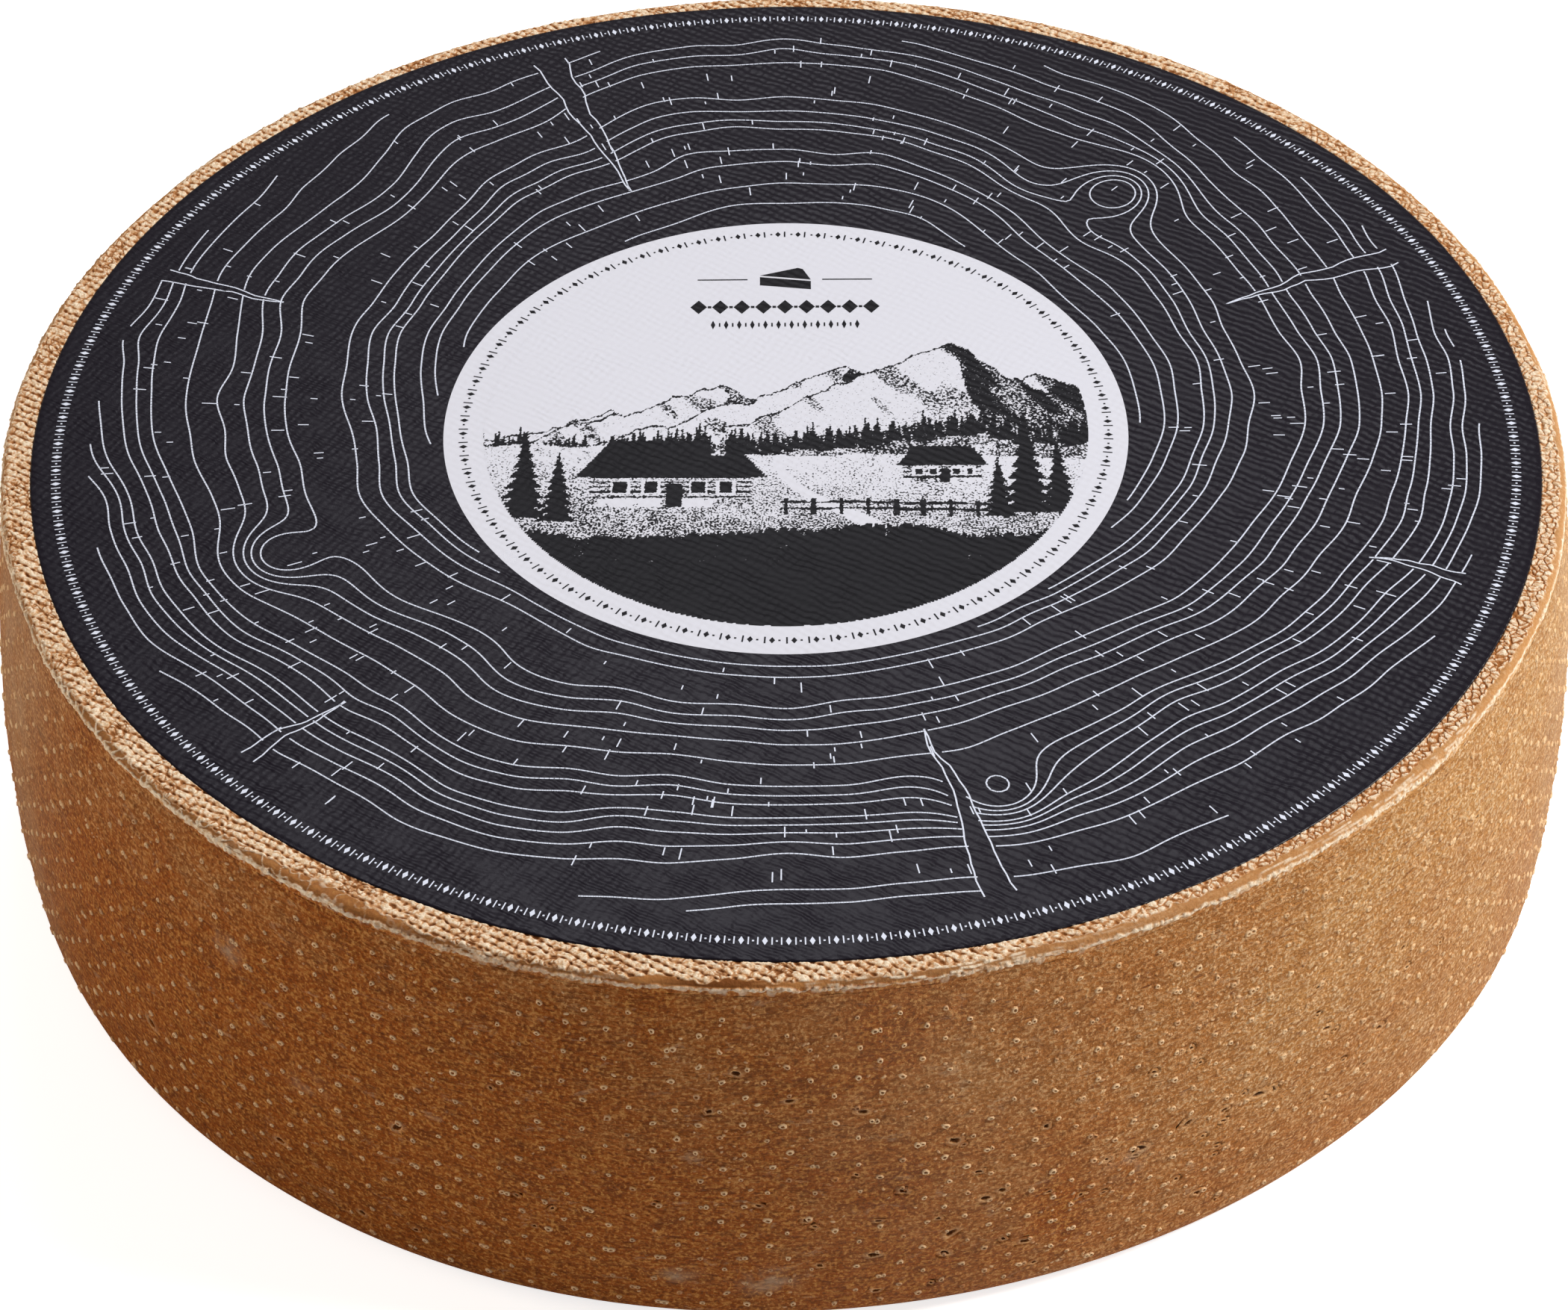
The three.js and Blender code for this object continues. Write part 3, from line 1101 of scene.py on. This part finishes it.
# pit_shadow is painted shade together with damp smear, laid inside the pits.
pit_shadow = "#54301a"
damp_shaded_pits, tree = new_material("damp_shaded_pits")
skin_colour, relief = rind_colour(tree)
damp = add_node(tree, "ShaderNodeAttribute", {"attribute_name": "damp"}).outputs["Fac"]
lip_share = add_node(
    tree, "ShaderNodeMapRange", inputs={"Value": damp, "From Min": -0.02, "From Max": -0.5, "To Max": 0.5}
).outputs["Result"]
lipped = add_node(
    tree, "ShaderNodeMix", COLOURS, {SHARE: lip_share, BELOW: skin_colour, ABOVE: linear(pit_lip)}
).outputs[MIXED]
damp_and_shade_share = add_node(tree, "ShaderNodeMapRange", inputs={"Value": damp}).outputs["Result"]
sunk = add_node(
    tree, "ShaderNodeMix", COLOURS, {SHARE: damp_and_shade_share, BELOW: lipped, ABOVE: linear(pit_shadow)}
).outputs[MIXED]
bump = add_node(tree, "ShaderNodeBump", inputs={"Height": relief, "Strength": 1.0, "Distance": 0.00045})
end_with(tree, Base_Color=sunk, Roughness=0.7, Specular_IOR_Level=0.16, Normal=bump.outputs["Normal"])
finish_piece(rind_pits, damp_shaded_pits, "cheese")

# %% [markdown]
# ## The paper label
#
# Thin dense paper glued on while the cheese was damp, so it followed every mark of the cloth below it.
# Its slow waves are in the mesh, and everything printed on it rides on the same waves. The weave is much
# too fine for the mesh of so large a disc, so there it is a bump: two sine ridges across the same lattice
# as on the rim, the one at 57 degrees stronger, both fading in and out.


# %% Relief of the cloth under the paper
drift_size, fading_size, fibre_size = 0.0045, 0.008, 0.0011  # metres
drift_reach = 0.0024
fibre_share = 0.8
relief_height = 0.000055


def cloth_relief(tree, strength):
    """Adds the nodes of the weave that shows through the paper, and returns the bumped normal."""
    place = add_node(tree, "ShaderNodeTexCoord").outputs["Object"]
    drift = add_node(
        tree, "ShaderNodeTexNoise", inputs={"Vector": place, "Scale": 1 / drift_size, "Detail": 2.0}
    ).outputs["Color"]
    moved = add_node(
        tree,
        "ShaderNodeVectorMath",
        {"operation": "MULTIPLY_ADD"},
        {0: drift, 1: (drift_reach, drift_reach, 0), 2: place},
    ).outputs["Vector"]
    fading = add_node(
        tree,
        "ShaderNodeTexNoise",
        inputs={"Vector": place, "Scale": 1 / fading_size, "Detail": 3.0, "Roughness": 0.65},
    ).outputs["Fac"]
    fading = add_node(
        tree,
        "ShaderNodeMapRange",
        inputs={"Value": fading, "From Min": 0.25, "From Max": 0.6, "To Min": 0.15},
    ).outputs["Result"]
    fibres = add_node(
        tree, "ShaderNodeTexNoise", inputs={"Vector": place, "Scale": 1 / fibre_size, "Detail": 2.0}
    ).outputs["Fac"]
    total = add_node(
        tree, "ShaderNodeMath", {"operation": "MULTIPLY"}, {0: fibres, 1: fibre_share}
    ).outputs[0]
    for angle, share in ((mark_angle, 0.8), (mark_angle - 90, 0.3)):
        turn = np.radians(angle)
        wave = 2 * np.pi / (mark_pitch * MM)
        phase = add_node(
            tree,
            "ShaderNodeVectorMath",
            {"operation": "DOT_PRODUCT"},
            {0: moved, 1: (wave * np.cos(turn), wave * np.sin(turn), 0)},
        ).outputs["Value"]
        ridge = add_node(tree, "ShaderNodeMath", {"operation": "SINE"}, {0: phase}).outputs[0]
        faded = add_node(
            tree, "ShaderNodeMath", {"operation": "MULTIPLY"}, {0: ridge, 1: fading}
        ).outputs[0]
        total = add_node(
            tree, "ShaderNodeMath", {"operation": "MULTIPLY_ADD"}, {0: faded, 1: share, 2: total}
        ).outputs[0]
    return add_node(
        tree, "ShaderNodeBump", inputs={"Height": total, "Strength": strength, "Distance": relief_height}
    ).outputs["Normal"]


# %% Label sheet
paper_waves = ((34, 0.12), (15, 0.04))


def paper_lift(x, y):
    """Height of the glued paper above its flat place, from slow noise, at x and y millimetres from the
    label's middle."""
    points = np.stack([x, y, np.zeros(np.shape(x))], axis=-1)
    return layered_noise(points, paper_waves, 111)


def on_label(x, y, lift):
    """Points a lift above the waving paper, at x and y from the label's middle."""
    height = label_top + paper_lift(x, y) + lift
    return np.stack([label_middle[0] + x, label_middle[1] + y, height], axis=-1)


sheet_columns = 900
inner_radii = np.linspace(2, 132, 50)
outer_radii = np.linspace(133, label_radius - 0.3, 12)
sheet_radii = np.concatenate([inner_radii, outer_radii, [label_radius]])
turns = np.linspace(0, 2 * np.pi, sheet_columns, endpoint=False)
radius_grid, turn_grid = np.meshgrid(sheet_radii, turns, indexing="ij")
x, y = radius_grid * np.cos(turn_grid), radius_grid * np.sin(turn_grid)
edge_lift = np.where(sheet_radii >= label_radius - 0.1, -0.07, 0)[:, None]
upper = on_label(x, y, edge_lift)
lower = upper[-1:].copy()
lower[..., 2] = wheel_height
inner = lower.copy()
inner[..., :2] = label_middle + (lower[..., :2] - label_middle) * 0.02
rings = np.concatenate([upper, lower, inner])
poles = np.concatenate([on_label(np.zeros(1), np.zeros(1), 0), [[*label_middle, wheel_height]]])
points = np.concatenate([rings.reshape(-1, 3), poles])
last_ring = np.arange(sheet_columns) + (len(rings) - 1) * sheet_columns
faces = [
    grid_faces(len(rings), sheet_columns, joined=True)[:, ::-1],
    fan_faces(np.arange(sheet_columns), len(points) - 2),
    fan_faces(last_ring[::-1], len(points) - 1),
]
label_sheet = mesh_piece("label_sheet", points, faces)

label_black = "#110b16"
black_paper, tree = new_material("printed_black_paper")
end_with(
    tree,
    Base_Color=linear(label_black),
    Roughness=0.37,
    Specular_IOR_Level=0.24,
    Normal=cloth_relief(tree, 1.0),
)
finish_piece(label_sheet, black_paper, "label")

# %% [markdown]
# ## White print on the black
#
# The print is the sawn end of a spruce trunk, with the roundel where its heart would be. A year ring lies
# where the distance from the middle has one value, once noise has bent the distance and each knot has
# pushed it outwards. So the rings are the level lines of one field. The levels are unevenly spaced, as
# wet and dry years are, and wider at the back, as in a trunk that grew on a slope. Short rays cross the
# rings, and drying cracks run in from the bark.


# %% Level lines
def level_lines(x, y, field, levels):
    """Segments where a field on a grid crosses levels. Each square is cut into two triangles. On a
    triangle's side from value u to v a level L is crossed at the share (L - u) / (v - u), so a crossed
    triangle gives one segment."""
    index = np.arange(x.size).reshape(x.shape)
    a, b, c, d = index[:-1, :-1], index[:-1, 1:], index[1:, 1:], index[1:, :-1]
    halves = [np.stack([i.ravel() for i in half], axis=1) for half in ((a, b, c), (a, c, d))]
    corners = np.concatenate(halves)
    places = np.stack([x.ravel(), y.ravel()], axis=1)[corners]
    values = field.ravel()[corners]
    segments = []
    for level in levels:
        hit = (values.min(axis=1) < level) & (values.max(axis=1) >= level)
        start, start_place = values[hit], places[hit]
        stop, stop_place = np.roll(start, -1, axis=1), np.roll(start_place, -1, axis=1)
        crossed = (start < level) != (stop < level)
        share = (level - start) / np.where(crossed, stop - start, 1)
        spots = start_place + share[..., None] * (stop_place - start_place)
        segments.append(spots[crossed].reshape(-1, 2, 2))
    return np.concatenate(segments)


def ink_strokes(segments, width):
    """One flat rectangle of ink along each segment, a little longer than it, so that bends have no gaps."""
    start, stop = segments[:, 0], segments[:, 1]
    along = stop - start
    along = along / np.maximum(np.linalg.norm(along, axis=1, keepdims=True), 1e-9)
    aside = np.stack([-along[:, 1], along[:, 0]], axis=1) * width / 2
    more = along * width / 5
    corners = np.stack(
        [start - more - aside, stop + more - aside, stop + more + aside, start - more + aside], axis=1
    )
    points = on_label(corners[..., 0], corners[..., 1], ink_lift).reshape(-1, 3)
    return points, np.arange(len(points)).reshape(-1, 4)


def join_parts(parts):
    """Several (points, faces) put together as one."""
    starts = np.cumsum([0] + [len(points) for points, _ in parts[:-1]])
    points = np.concatenate([points for points, _ in parts])
    return points, np.concatenate([faces + start for (_, faces), start in zip(parts, starts)])


ink_width = 0.3
ray_width = 0.25
ink_lift = 0.05
print_inner = 68.5
print_outer = 134
knots = ((-96, -38, 15, 6.0), (70, 78, 17, 7.0), (38, -104, 13, 5.5))  # x, y, push, reach
drying_cracks = (  # degrees, radius of the tip, half width at the bark
    (24, 96, 2.6),
    (112, 84, 3.4),
    (158, 108, 1.8),
    (-74, 90, 3.0),
    (-136, 112, 1.6),
    (-20, 116, 1.5),
)
first_year = 50
slope_growth = 0.16  # how much wider than even the rings are at the back, and narrower at the front
growth_layers = ((62, 7), (26, 3.2), (10, 0.9))
print_step = 0.9
span = np.arange(-print_outer - 1, print_outer + 1, print_step)
x, y = np.meshgrid(span, span)
lopsided = 1 - slope_growth * y / np.maximum(np.hypot(x, y), 1)
growth = np.hypot(x, y) * lopsided
growth = growth + layered_noise(np.stack([x, y], axis=-1), growth_layers, 161)
for knot_x, knot_y, push, reach in knots:
    growth = growth - push * np.exp(-((x - knot_x) ** 2 + (y - knot_y) ** 2) / (2 * reach**2))
year_widths = np.clip(np.exp(chance.normal(1.26, 0.6, 90)), 1.5, 10)
years = first_year + np.cumsum(year_widths)
rings = level_lines(x, y, growth, years[years < growth.max()])
middle = rings.mean(axis=1)
reach, turn = np.hypot(*middle.T), np.arctan2(middle[:, 1], middle[:, 0])
kept = (reach > print_inner) & (reach < print_outer)

crack_sides = []
for place, tip, widest in drying_cracks:
    half = widest * np.clip((reach - tip) / (print_outer - tip), 0, 1) + ink_width
    kept &= (np.abs(np.radians(apart(turn, place))) * reach > half) | (reach < tip)
    down = np.linspace(tip, print_outer, 22)
    bend = 1.2 * soft_noise(np.stack([down, 0 * down + place], axis=-1), 6, 171)
    for side in (-1, 1):
        rough = 0.25 * soft_noise(np.stack([down, 0 * down + place + 9 * side], axis=-1), 2.2, 173)
        aside = bend + side * widest * (down - tip) / (print_outer - tip) + rough
        turned = np.radians(place) + aside / down
        line = np.stack([down * np.cos(turned), down * np.sin(turned)], axis=1)
        crack_sides.append(np.stack([line[:-1], line[1:]], axis=1))

ray_count = 480
ray_turns = chance.uniform(-np.pi, np.pi, ray_count)
ray_starts = np.sqrt(chance.uniform((print_inner + 2) ** 2, (print_outer - 3) ** 2, ray_count))
ray_ends = ray_starts + chance.uniform(0.8, 2.8, ray_count)
directions = np.stack([np.cos(ray_turns), np.sin(ray_turns)], axis=1)
rays = np.stack([directions * ray_starts[:, None], directions * ray_ends[:, None]], axis=1)
segments = np.concatenate([rings[kept], *crack_sides])
print(f"{np.linalg.norm(segments[:, 1] - segments[:, 0], axis=1).sum() / 1000:.1f} m of printed line")
points, faces = join_parts([ink_strokes(segments, ink_width), ink_strokes(rays, ray_width)])
label_year_rings = mesh_piece("label_year_rings", points, [faces])

# %% [markdown]
# Round the edge runs a fine border of lozenges, dots and strokes. One small figure is repeated at equal
# steps, so its corners are computed once, as distances along and across the ring, and then turned to
# every place at once.


# %% Borders of small figures
def ring_of_figures(radius, count, figure, offset, lift):
    """Copies of one four-cornered figure round a ring, given as (along, out) distances of its corners."""
    middle = (np.arange(count)[:, None] + offset) * 2 * np.pi / count
    corners = np.array(figure)
    turn = middle + corners[:, 0] / radius
    reach = radius + corners[:, 1]
    points = on_label(reach * np.cos(turn), reach * np.sin(turn), lift).reshape(-1, 3)
    return points, np.arange(count * len(corners)).reshape(count, len(corners))


def box_figure(along, out):
    """A rectangle of this size, anticlockwise seen from above."""
    side, end = along / 2, out / 2
    return ((side, -end), (side, end), (-side, end), (-side, -end))


def lozenge_figure(along, out):
    """A lozenge of this size, anticlockwise seen from above."""
    return ((along / 2, 0), (0, out / 2), (-along / 2, 0), (0, -out / 2))


border_radius = 140.2
border_count = 216
border_figures = (  # each figure, and its place as a share of a step
    (lozenge_figure(1.0, 2.0), 0.0),
    (box_figure(0.24, 1.8), 0.3),
    (box_figure(0.36, 0.36), 0.5),
    (box_figure(0.24, 1.8), 0.7),
)
border_parts = [
    ring_of_figures(border_radius, border_count, figure, place, ink_lift)
    for figure, place in border_figures
]
points, faces = join_parts(border_parts)
label_border = mesh_piece("label_border_print", points, [faces])

ink_white = "#dbe3f5"
white_ink, tree = new_material("white_printing_ink")
end_with(
    tree,
    Base_Color=linear(ink_white),
    Roughness=0.5,
    Specular_IOR_Level=0.3,
    Normal=cloth_relief(tree, 0.5),
)
finish_piece(label_year_rings, white_ink, "label")
finish_piece(label_border, white_ink, "label")

# %% [markdown]
# ## The white roundel and its picture
#
# The middle of the label is a white disc with a coarse black halftone picture. The picture is a plain
# Alpine pasture of no place in particular: peaks, spruce forest, two timber huts, a fence and a dark
# foreground. It is painted by functions of x and y: each layer is a silhouette with a tone, laid over the
# ones behind it. The tone is stored at the points of a fine grid, and the material turns it into grain,
# as a printing screen does.

# %% Roundel disc
roundel_radius = 66.1
picture_radius = 58.4
roundel_lift = 0.02
picture_lift = 0.04
figure_lift = 0.05
roundel_columns = 480
radii = np.linspace(1.5, roundel_radius, 34)
turns = np.linspace(0, 2 * np.pi, roundel_columns, endpoint=False)
radius_grid, turn_grid = np.meshgrid(radii, turns, indexing="ij")
rings = on_label(radius_grid * np.cos(turn_grid), radius_grid * np.sin(turn_grid), roundel_lift)
points = np.concatenate([rings.reshape(-1, 3), on_label(np.zeros(1), np.zeros(1), roundel_lift)])
faces = [
    grid_faces(len(radii), roundel_columns, joined=True)[:, ::-1],
    fan_faces(np.arange(roundel_columns), len(points) - 1),
]
label_roundel = mesh_piece("label_roundel", points, faces)

roundel_white = "#d7dae6"
white_ground, tree = new_material("white_printed_ground")
end_with(
    tree,
    Base_Color=linear(roundel_white),
    Roughness=0.5,
    Specular_IOR_Level=0.3,
    Normal=cloth_relief(tree, 0.55),
)
finish_piece(label_roundel, white_ground, "label")


# %% Shapes in the picture
def along_x(x, layers, seed):
    """Layered noise that changes only along x, for the top edge of a silhouette."""
    return layered_noise(np.stack([x, 0 * x], axis=-1), layers, seed)


def spruce(x, y, place, foot, height):
    """True inside a spruce: half width 0.19 h (1 - t) (0.5 + 0.5 saw), with t up the tree and one saw
    tooth for each of nine tiers of boughs."""
    share = (y - foot) / height
    tier = 1 - (share * 9) % 1
    half = 0.19 * height * (1 - share) * (0.5 + 0.5 * tier)
    return (share > 0) & (share < 1) & (np.abs(x - place) < half)


def within(x, y, middle_x, middle_y, half_x, half_y):
    """True inside a rectangle."""
    return (np.abs(x - middle_x) < half_x) & (np.abs(y - middle_y) < half_y)


def add_hut(tone, x, y, speckle, middle, floor, half, wall, roof):
    """Lays a timber hut over a picture: log lines, a speckled stone footing, a dark hipped roof, four
    framed windows and a door. Half is half its length, and wall and roof are heights."""
    logs = np.where(((y - floor) / 1.45) % 1 < 0.28, 0.95, 0.36)
    body = within(x, y, middle, floor + wall / 2, half, wall / 2)
    tone = np.where(body, logs, tone)
    tone = np.where(body & (y < floor + wall * 0.28), np.where(speckle > 0.15, 0.5, 0.03), tone)
    up = (y - floor - wall) / roof
    under_roof = np.abs(x - middle) < half * 1.16 - up * half * 0.42
    tone = np.where(under_roof & (up > -0.06) & (up < 1), 0.99, tone)
    for share in (-0.62, -0.24, 0.34, 0.68):
        window = (middle + share * half, floor + wall * 0.62)
        tone = np.where(within(x, y, *window, half * 0.085 + 0.5, wall * 0.17 + 0.5), 0.02, tone)
        tone = np.where(within(x, y, *window, half * 0.085, wall * 0.17), 0.98, tone)
    door = within(x, y, middle + 0.05 * half, floor + wall * 0.37, half * 0.1, wall * 0.37)
    return np.where(door, 0.98, tone)


# %% [markdown]
# The picture is laid from back to front on one grid. Places and sizes are millimetres from the roundel's
# middle, and a tone runs from 0, bare paper, to 1, full ink.

# %% Sky and peaks
picture_step = 0.34
picture_top = 30
peaks = (  # place, top, fall to the left and to the right, the far ones first
    (-34, 4, 0.3, 0.5),
    (49, 16, 0.5, 0.62),
    (-13, 12, 0.42, 0.5),
    (12, 18, 0.5, 0.6),
    (32, 26, 0.62, 0.85),
)
near_spruces = ((-50, -27, 27), (-43.5, -28, 21), (46, -26, 30), (52, -26, 22), (40.5, -27, 18))
span = np.arange(-picture_radius - 1, picture_radius + 1, picture_step)
x, y = np.meshgrid(span, span[span < picture_top])
reach = np.hypot(x, y)
onto_edge = np.where(reach > picture_radius - picture_step * 0.6, picture_radius / np.maximum(reach, 1), 1)
x, y = x * onto_edge, y * onto_edge
speckle = layered_noise(np.stack([x, y], axis=-1), ((3.2, 0.5), (1.1, 0.5)), 131)
tone = np.zeros(x.shape)

for i, (place, top, left, right) in enumerate(peaks):
    edge = top - np.where(x < place, left * (place - x), right * (x - place))
    edge = edge + along_x(x, ((7, 1.3), (2.4, 0.8), (1, 0.35)), 301 + i)
    drop = edge - y
    spine = place + 0.22 * drop + 2.2 * soft_noise(np.stack([0 * y, y], axis=-1), 5, 321 + i)
    gully = soft_noise(np.stack([0.8 * x + 0.5 * y, 0.35 * y], axis=-1), 2.6, 341 + i)
    flank = np.where(x < spine, 0.1 + 0.4 * ease(gully, 0.2, 0.5), 0.6 + 0.35 * ease(gully, -0.3, 0.2))
    haze = ease(drop, 13, 27)
    flank = flank * (1 - haze) + 0.3 * haze
    flank = np.where(drop < 0.5, 0.85, flank)
    tone = np.where(y < edge, flank, tone)


# %% Hills, forest and meadow
def hill_edge(x):
    """Height of the wooded hills' top edge."""
    return -3 + 0.08 * x + along_x(x, ((30, 3.5), (9, 1.2)), 137)


tone = np.where(y < hill_edge(x), 0.55 + 0.3 * speckle, tone)
forest_step = 0.93
forest_x = np.arange(-60, 60, forest_step)
forest_x = forest_x + chance.uniform(-0.4, 0.4, forest_x.size)
forest_feet = hill_edge(forest_x) - chance.uniform(3.2, 5.2, forest_x.size)
for place, foot, height in zip(forest_x, forest_feet, chance.uniform(4.5, 8.5, forest_x.size)):
    tone = np.where(spruce(x, y, place, foot, height), 0.97, tone)
meadow_edge = -9 - 0.05 * x + along_x(x, ((26, 2.2), (7, 0.5)), 141)
meadow = y < meadow_edge
tone = np.where(meadow, 0.14 + 0.2 * speckle + 0.016 * (meadow_edge - y), tone)
track = 0.75 * (meadow_edge - y) - 2 + 3 * np.sin((y + 9) / 5)
tone = np.where(meadow & (np.abs(x - track) < 0.6 + 0.09 * (meadow_edge - y)), 0.0, tone)

# %% Huts, near spruces, fence and grass
tone = add_hut(tone, x, y, speckle, middle=30, floor=-17, half=7.5, wall=5.2, roof=5.5)
tone = add_hut(tone, x, y, speckle, middle=-22, floor=-24, half=15.5, wall=9.5, roof=10.5)
chimney = within(x, y, -13, -5, 1.4, 3.6)
tone = np.where(chimney, np.where(speckle > 0, 0.6, 0.1), tone)
for place, foot, height in near_spruces:
    tone = np.where(spruce(x, y, place, foot, height), 0.99, tone)
fence_foot = -28 + along_x(x, ((24, 1.6), (6, 0.4)), 145)
post_step = 5.2
off_post = np.abs(x / post_step - np.round(x / post_step)) * post_step
posts = (off_post < 0.42) & (y > fence_foot) & (y < fence_foot + 4.8)
rails = (np.abs(y - fence_foot - 3.7) < 0.3) | (np.abs(y - fence_foot - 1.9) < 0.3)
tone = np.where((posts | rails) & (x > -1), 0.99, tone)
grass = -31 + along_x(x, ((20, 2.4), (5, 0.8)), 147) + 1.5 * np.abs(along_x(x, ((0.8, 1),), 149))
tone = np.where(y < grass, 1.05 - 0.3 * ease(speckle, 0.35, 0.8) * ease(y, -46, -33), tone)

# %% Picture as a mesh
points = on_label(x, y, picture_lift)
faces = grid_faces(*x.shape)
faces = faces[(reach < picture_radius + picture_step * 0.2).ravel()[faces].all(axis=1)]
used, faces = np.unique(faces, return_inverse=True)
points, faces = points.reshape(-1, 3)[used], faces.reshape(-1, 4)
picture = mesh_piece("roundel_picture", points, [faces], tone=tone.ravel()[used])

# %% Halftone material
print_black = "#09070c"
screen_grain = 0.00022  # metres

halftone, tree = new_material("halftone_print")
place = add_node(tree, "ShaderNodeTexCoord").outputs["Object"]
screen = add_node(
    tree, "ShaderNodeTexNoise", inputs={"Vector": place, "Scale": 1 / (2 * screen_grain), "Detail": 1.0}
).outputs["Fac"]
tone_here = add_node(tree, "ShaderNodeAttribute", {"attribute_name": "tone"}).outputs["Fac"]
against = add_node(
    tree,
    "ShaderNodeMapRange",
    inputs={"Value": screen, "From Min": 0.3, "From Max": 0.7, "To Min": 0.1, "To Max": 0.9},
).outputs["Result"]
more = add_node(
    tree, "ShaderNodeMath", {"operation": "SUBTRACT"}, {0: tone_here, 1: against}
).outputs[0]
inked = add_node(
    tree, "ShaderNodeMapRange", inputs={"Value": more, "From Min": -0.08, "From Max": 0.08}
).outputs["Result"]
printed = add_node(
    tree,
    "ShaderNodeMix",
    COLOURS,
    {SHARE: inked, BELOW: linear(roundel_white), ABOVE: linear(print_black)},
).outputs[MIXED]
end_with(
    tree,
    Base_Color=printed,
    Roughness=0.42,
    Specular_IOR_Level=0.2,
    Normal=cloth_relief(tree, 0.7),
)
finish_piece(picture, halftone, "label")

# %% [markdown]
# The roundel's border and the ornament above the picture are black figures on white: a wedge of cheese
# between two rules, and two rows of lozenges below it, one bold and one light.


# %% Black figures on the roundel
def flat_figure(corners):
    """One polygon on the roundel, from its corners as (x, y) in millimetres, anticlockwise from above."""
    corners = np.array(corners, float)
    points = on_label(corners[:, 0], corners[:, 1], figure_lift)
    return points, np.arange(len(corners))[None, :]


def figure_row(count, step, level, figure):
    """A centred row of equal four-cornered figures."""
    offsets = (np.arange(count) - (count - 1) / 2) * step
    return [flat_figure(np.array(figure) + (offset, level)) for offset in offsets]


wedge_corners = (
    ((-5.0, 45.3), (5.2, 43.9), (5.2, 46.6), (-5.0, 48.0)),
    ((-5.0, 48.5), (5.2, 47.1), (3.6, 50.6), (2.6, 51.0)),
)
rule_low, rule_high = 47.0, 47.35
rule_corners = [
    ((start, rule_low), (stop, rule_low), (stop, rule_high), (start, rule_high))
    for start, stop in ((-17.5, -7.5), (7.5, 17.5))
]
ring_radius = 62.3
ring_count = 96
ring_figures = (  # each figure, and its place as a share of a step
    (box_figure(0.3, 1.8), 0.0),
    (lozenge_figure(1.1, 1.7), 0.33),
    (box_figure(0.4, 0.4), 0.66),
)
bold_level, light_level = 38.2, 32.4
bold_step, light_step = 4.3, 2.6
black_parts = [
    *[flat_figure(corners) for corners in (*wedge_corners, *rule_corners)],
    *figure_row(9, bold_step, bold_level, lozenge_figure(3.3, 4.4)),
    *figure_row(8, bold_step, bold_level, box_figure(0.7, 0.7)),
    *figure_row(12, light_step, light_level, lozenge_figure(0.9, 2.8)),
    *figure_row(11, light_step, light_level, box_figure(0.3, 1.2)),
    *[
        ring_of_figures(ring_radius, ring_count, figure, place, figure_lift)
        for figure, place in ring_figures
    ],
]
points, faces = join_parts(black_parts)
roundel_figures = mesh_piece("roundel_figures", points, [faces])
black_ink, tree = new_material("black_printing_ink")
end_with(
    tree,
    Base_Color=linear(print_black),
    Roughness=0.42,
    Specular_IOR_Level=0.2,
    Normal=cloth_relief(tree, 0.6),
)
finish_piece(roundel_figures, black_ink, "label")

# %% [markdown]
# ## Floor and light
#
# The stage is a plain pale floor and soft boxes. The key stands to the right, so the side there glows and
# the front falls into shade. A cool box behind and above the wheel shines along the satin label towards
# the camera, which brings out the weave, and a weak warm one fills the left side.

# %% Floor
floor_half = 12.0
floor_drop = 0.0002
floor_mesh = bpy.data.meshes.new("studio_floor")
corners = [(x * floor_half, y * floor_half, -floor_drop) for x, y in ((-1, -1), (1, -1), (1, 1), (-1, 1))]
floor_mesh.from_pydata(corners, [], [(0, 1, 2, 3)])
floor = bpy.data.objects.new("studio_floor", floor_mesh)
bpy.context.scene.collection.objects.link(floor)
floor_glow = 0.75  # only towards the camera, so that the floor shows nearly white
painted_floor, tree = new_material("painted_studio_floor")
camera_ray = add_node(tree, "ShaderNodeLightPath").outputs["Is Camera Ray"]
glow = add_node(
    tree, "ShaderNodeMath", {"operation": "MULTIPLY"}, {0: camera_ray, 1: floor_glow}
).outputs[0]
end_with(
    tree,
    Base_Color=linear("#f6f6f5"),
    Roughness=0.9,
    Specular_IOR_Level=0.1,
    Emission_Color=linear("#ffffff"),
    Emission_Strength=glow,
)
floor_mesh.materials.append(painted_floor)


# %% Lights
def soft_box(name, place, aim, size, power, colour):
    """A rectangular light at a place in metres, turned towards the point that it aims at."""
    data = bpy.data.lights.new(name, "AREA")
    data.shape = "RECTANGLE"
    data.size, data.size_y = size
    data.energy = power
    data.color = linear(colour)[:3]
    light = bpy.data.objects.new(name, data)
    light.location = place
    light.rotation_euler = (Vector(aim) - Vector(place)).to_track_quat("-Z", "Y").to_euler()
    bpy.context.scene.collection.objects.link(light)
    return light


wheel_middle = (0, 0, wheel_height * MM / 2)
soft_box("key_right", (1.8, 0.0, 1.6), wheel_middle, (0.8, 0.8), 64, "#fffaf4")
soft_box("overhead", (0.0, 1.54, 1.97), wheel_middle, (0.6, 0.6), 8, "#f6f6ff")
fill = soft_box("fill_left", (-1.6, 0.1, 0.55), wheel_middle, (0.7, 0.7), 11, "#ffeacf")
fill.visible_glossy = False  # or it would mirror in the satin label, seen low from the right

world = bpy.data.worlds.new("studio")
world.use_nodes = True
world.node_tree.nodes["Background"].inputs["Color"].default_value = linear("#f4f5f8")
world.node_tree.nodes["Background"].inputs["Strength"].default_value = 0.2
bpy.context.scene.world = world
bpy.context.scene.view_settings.view_transform = "Standard"
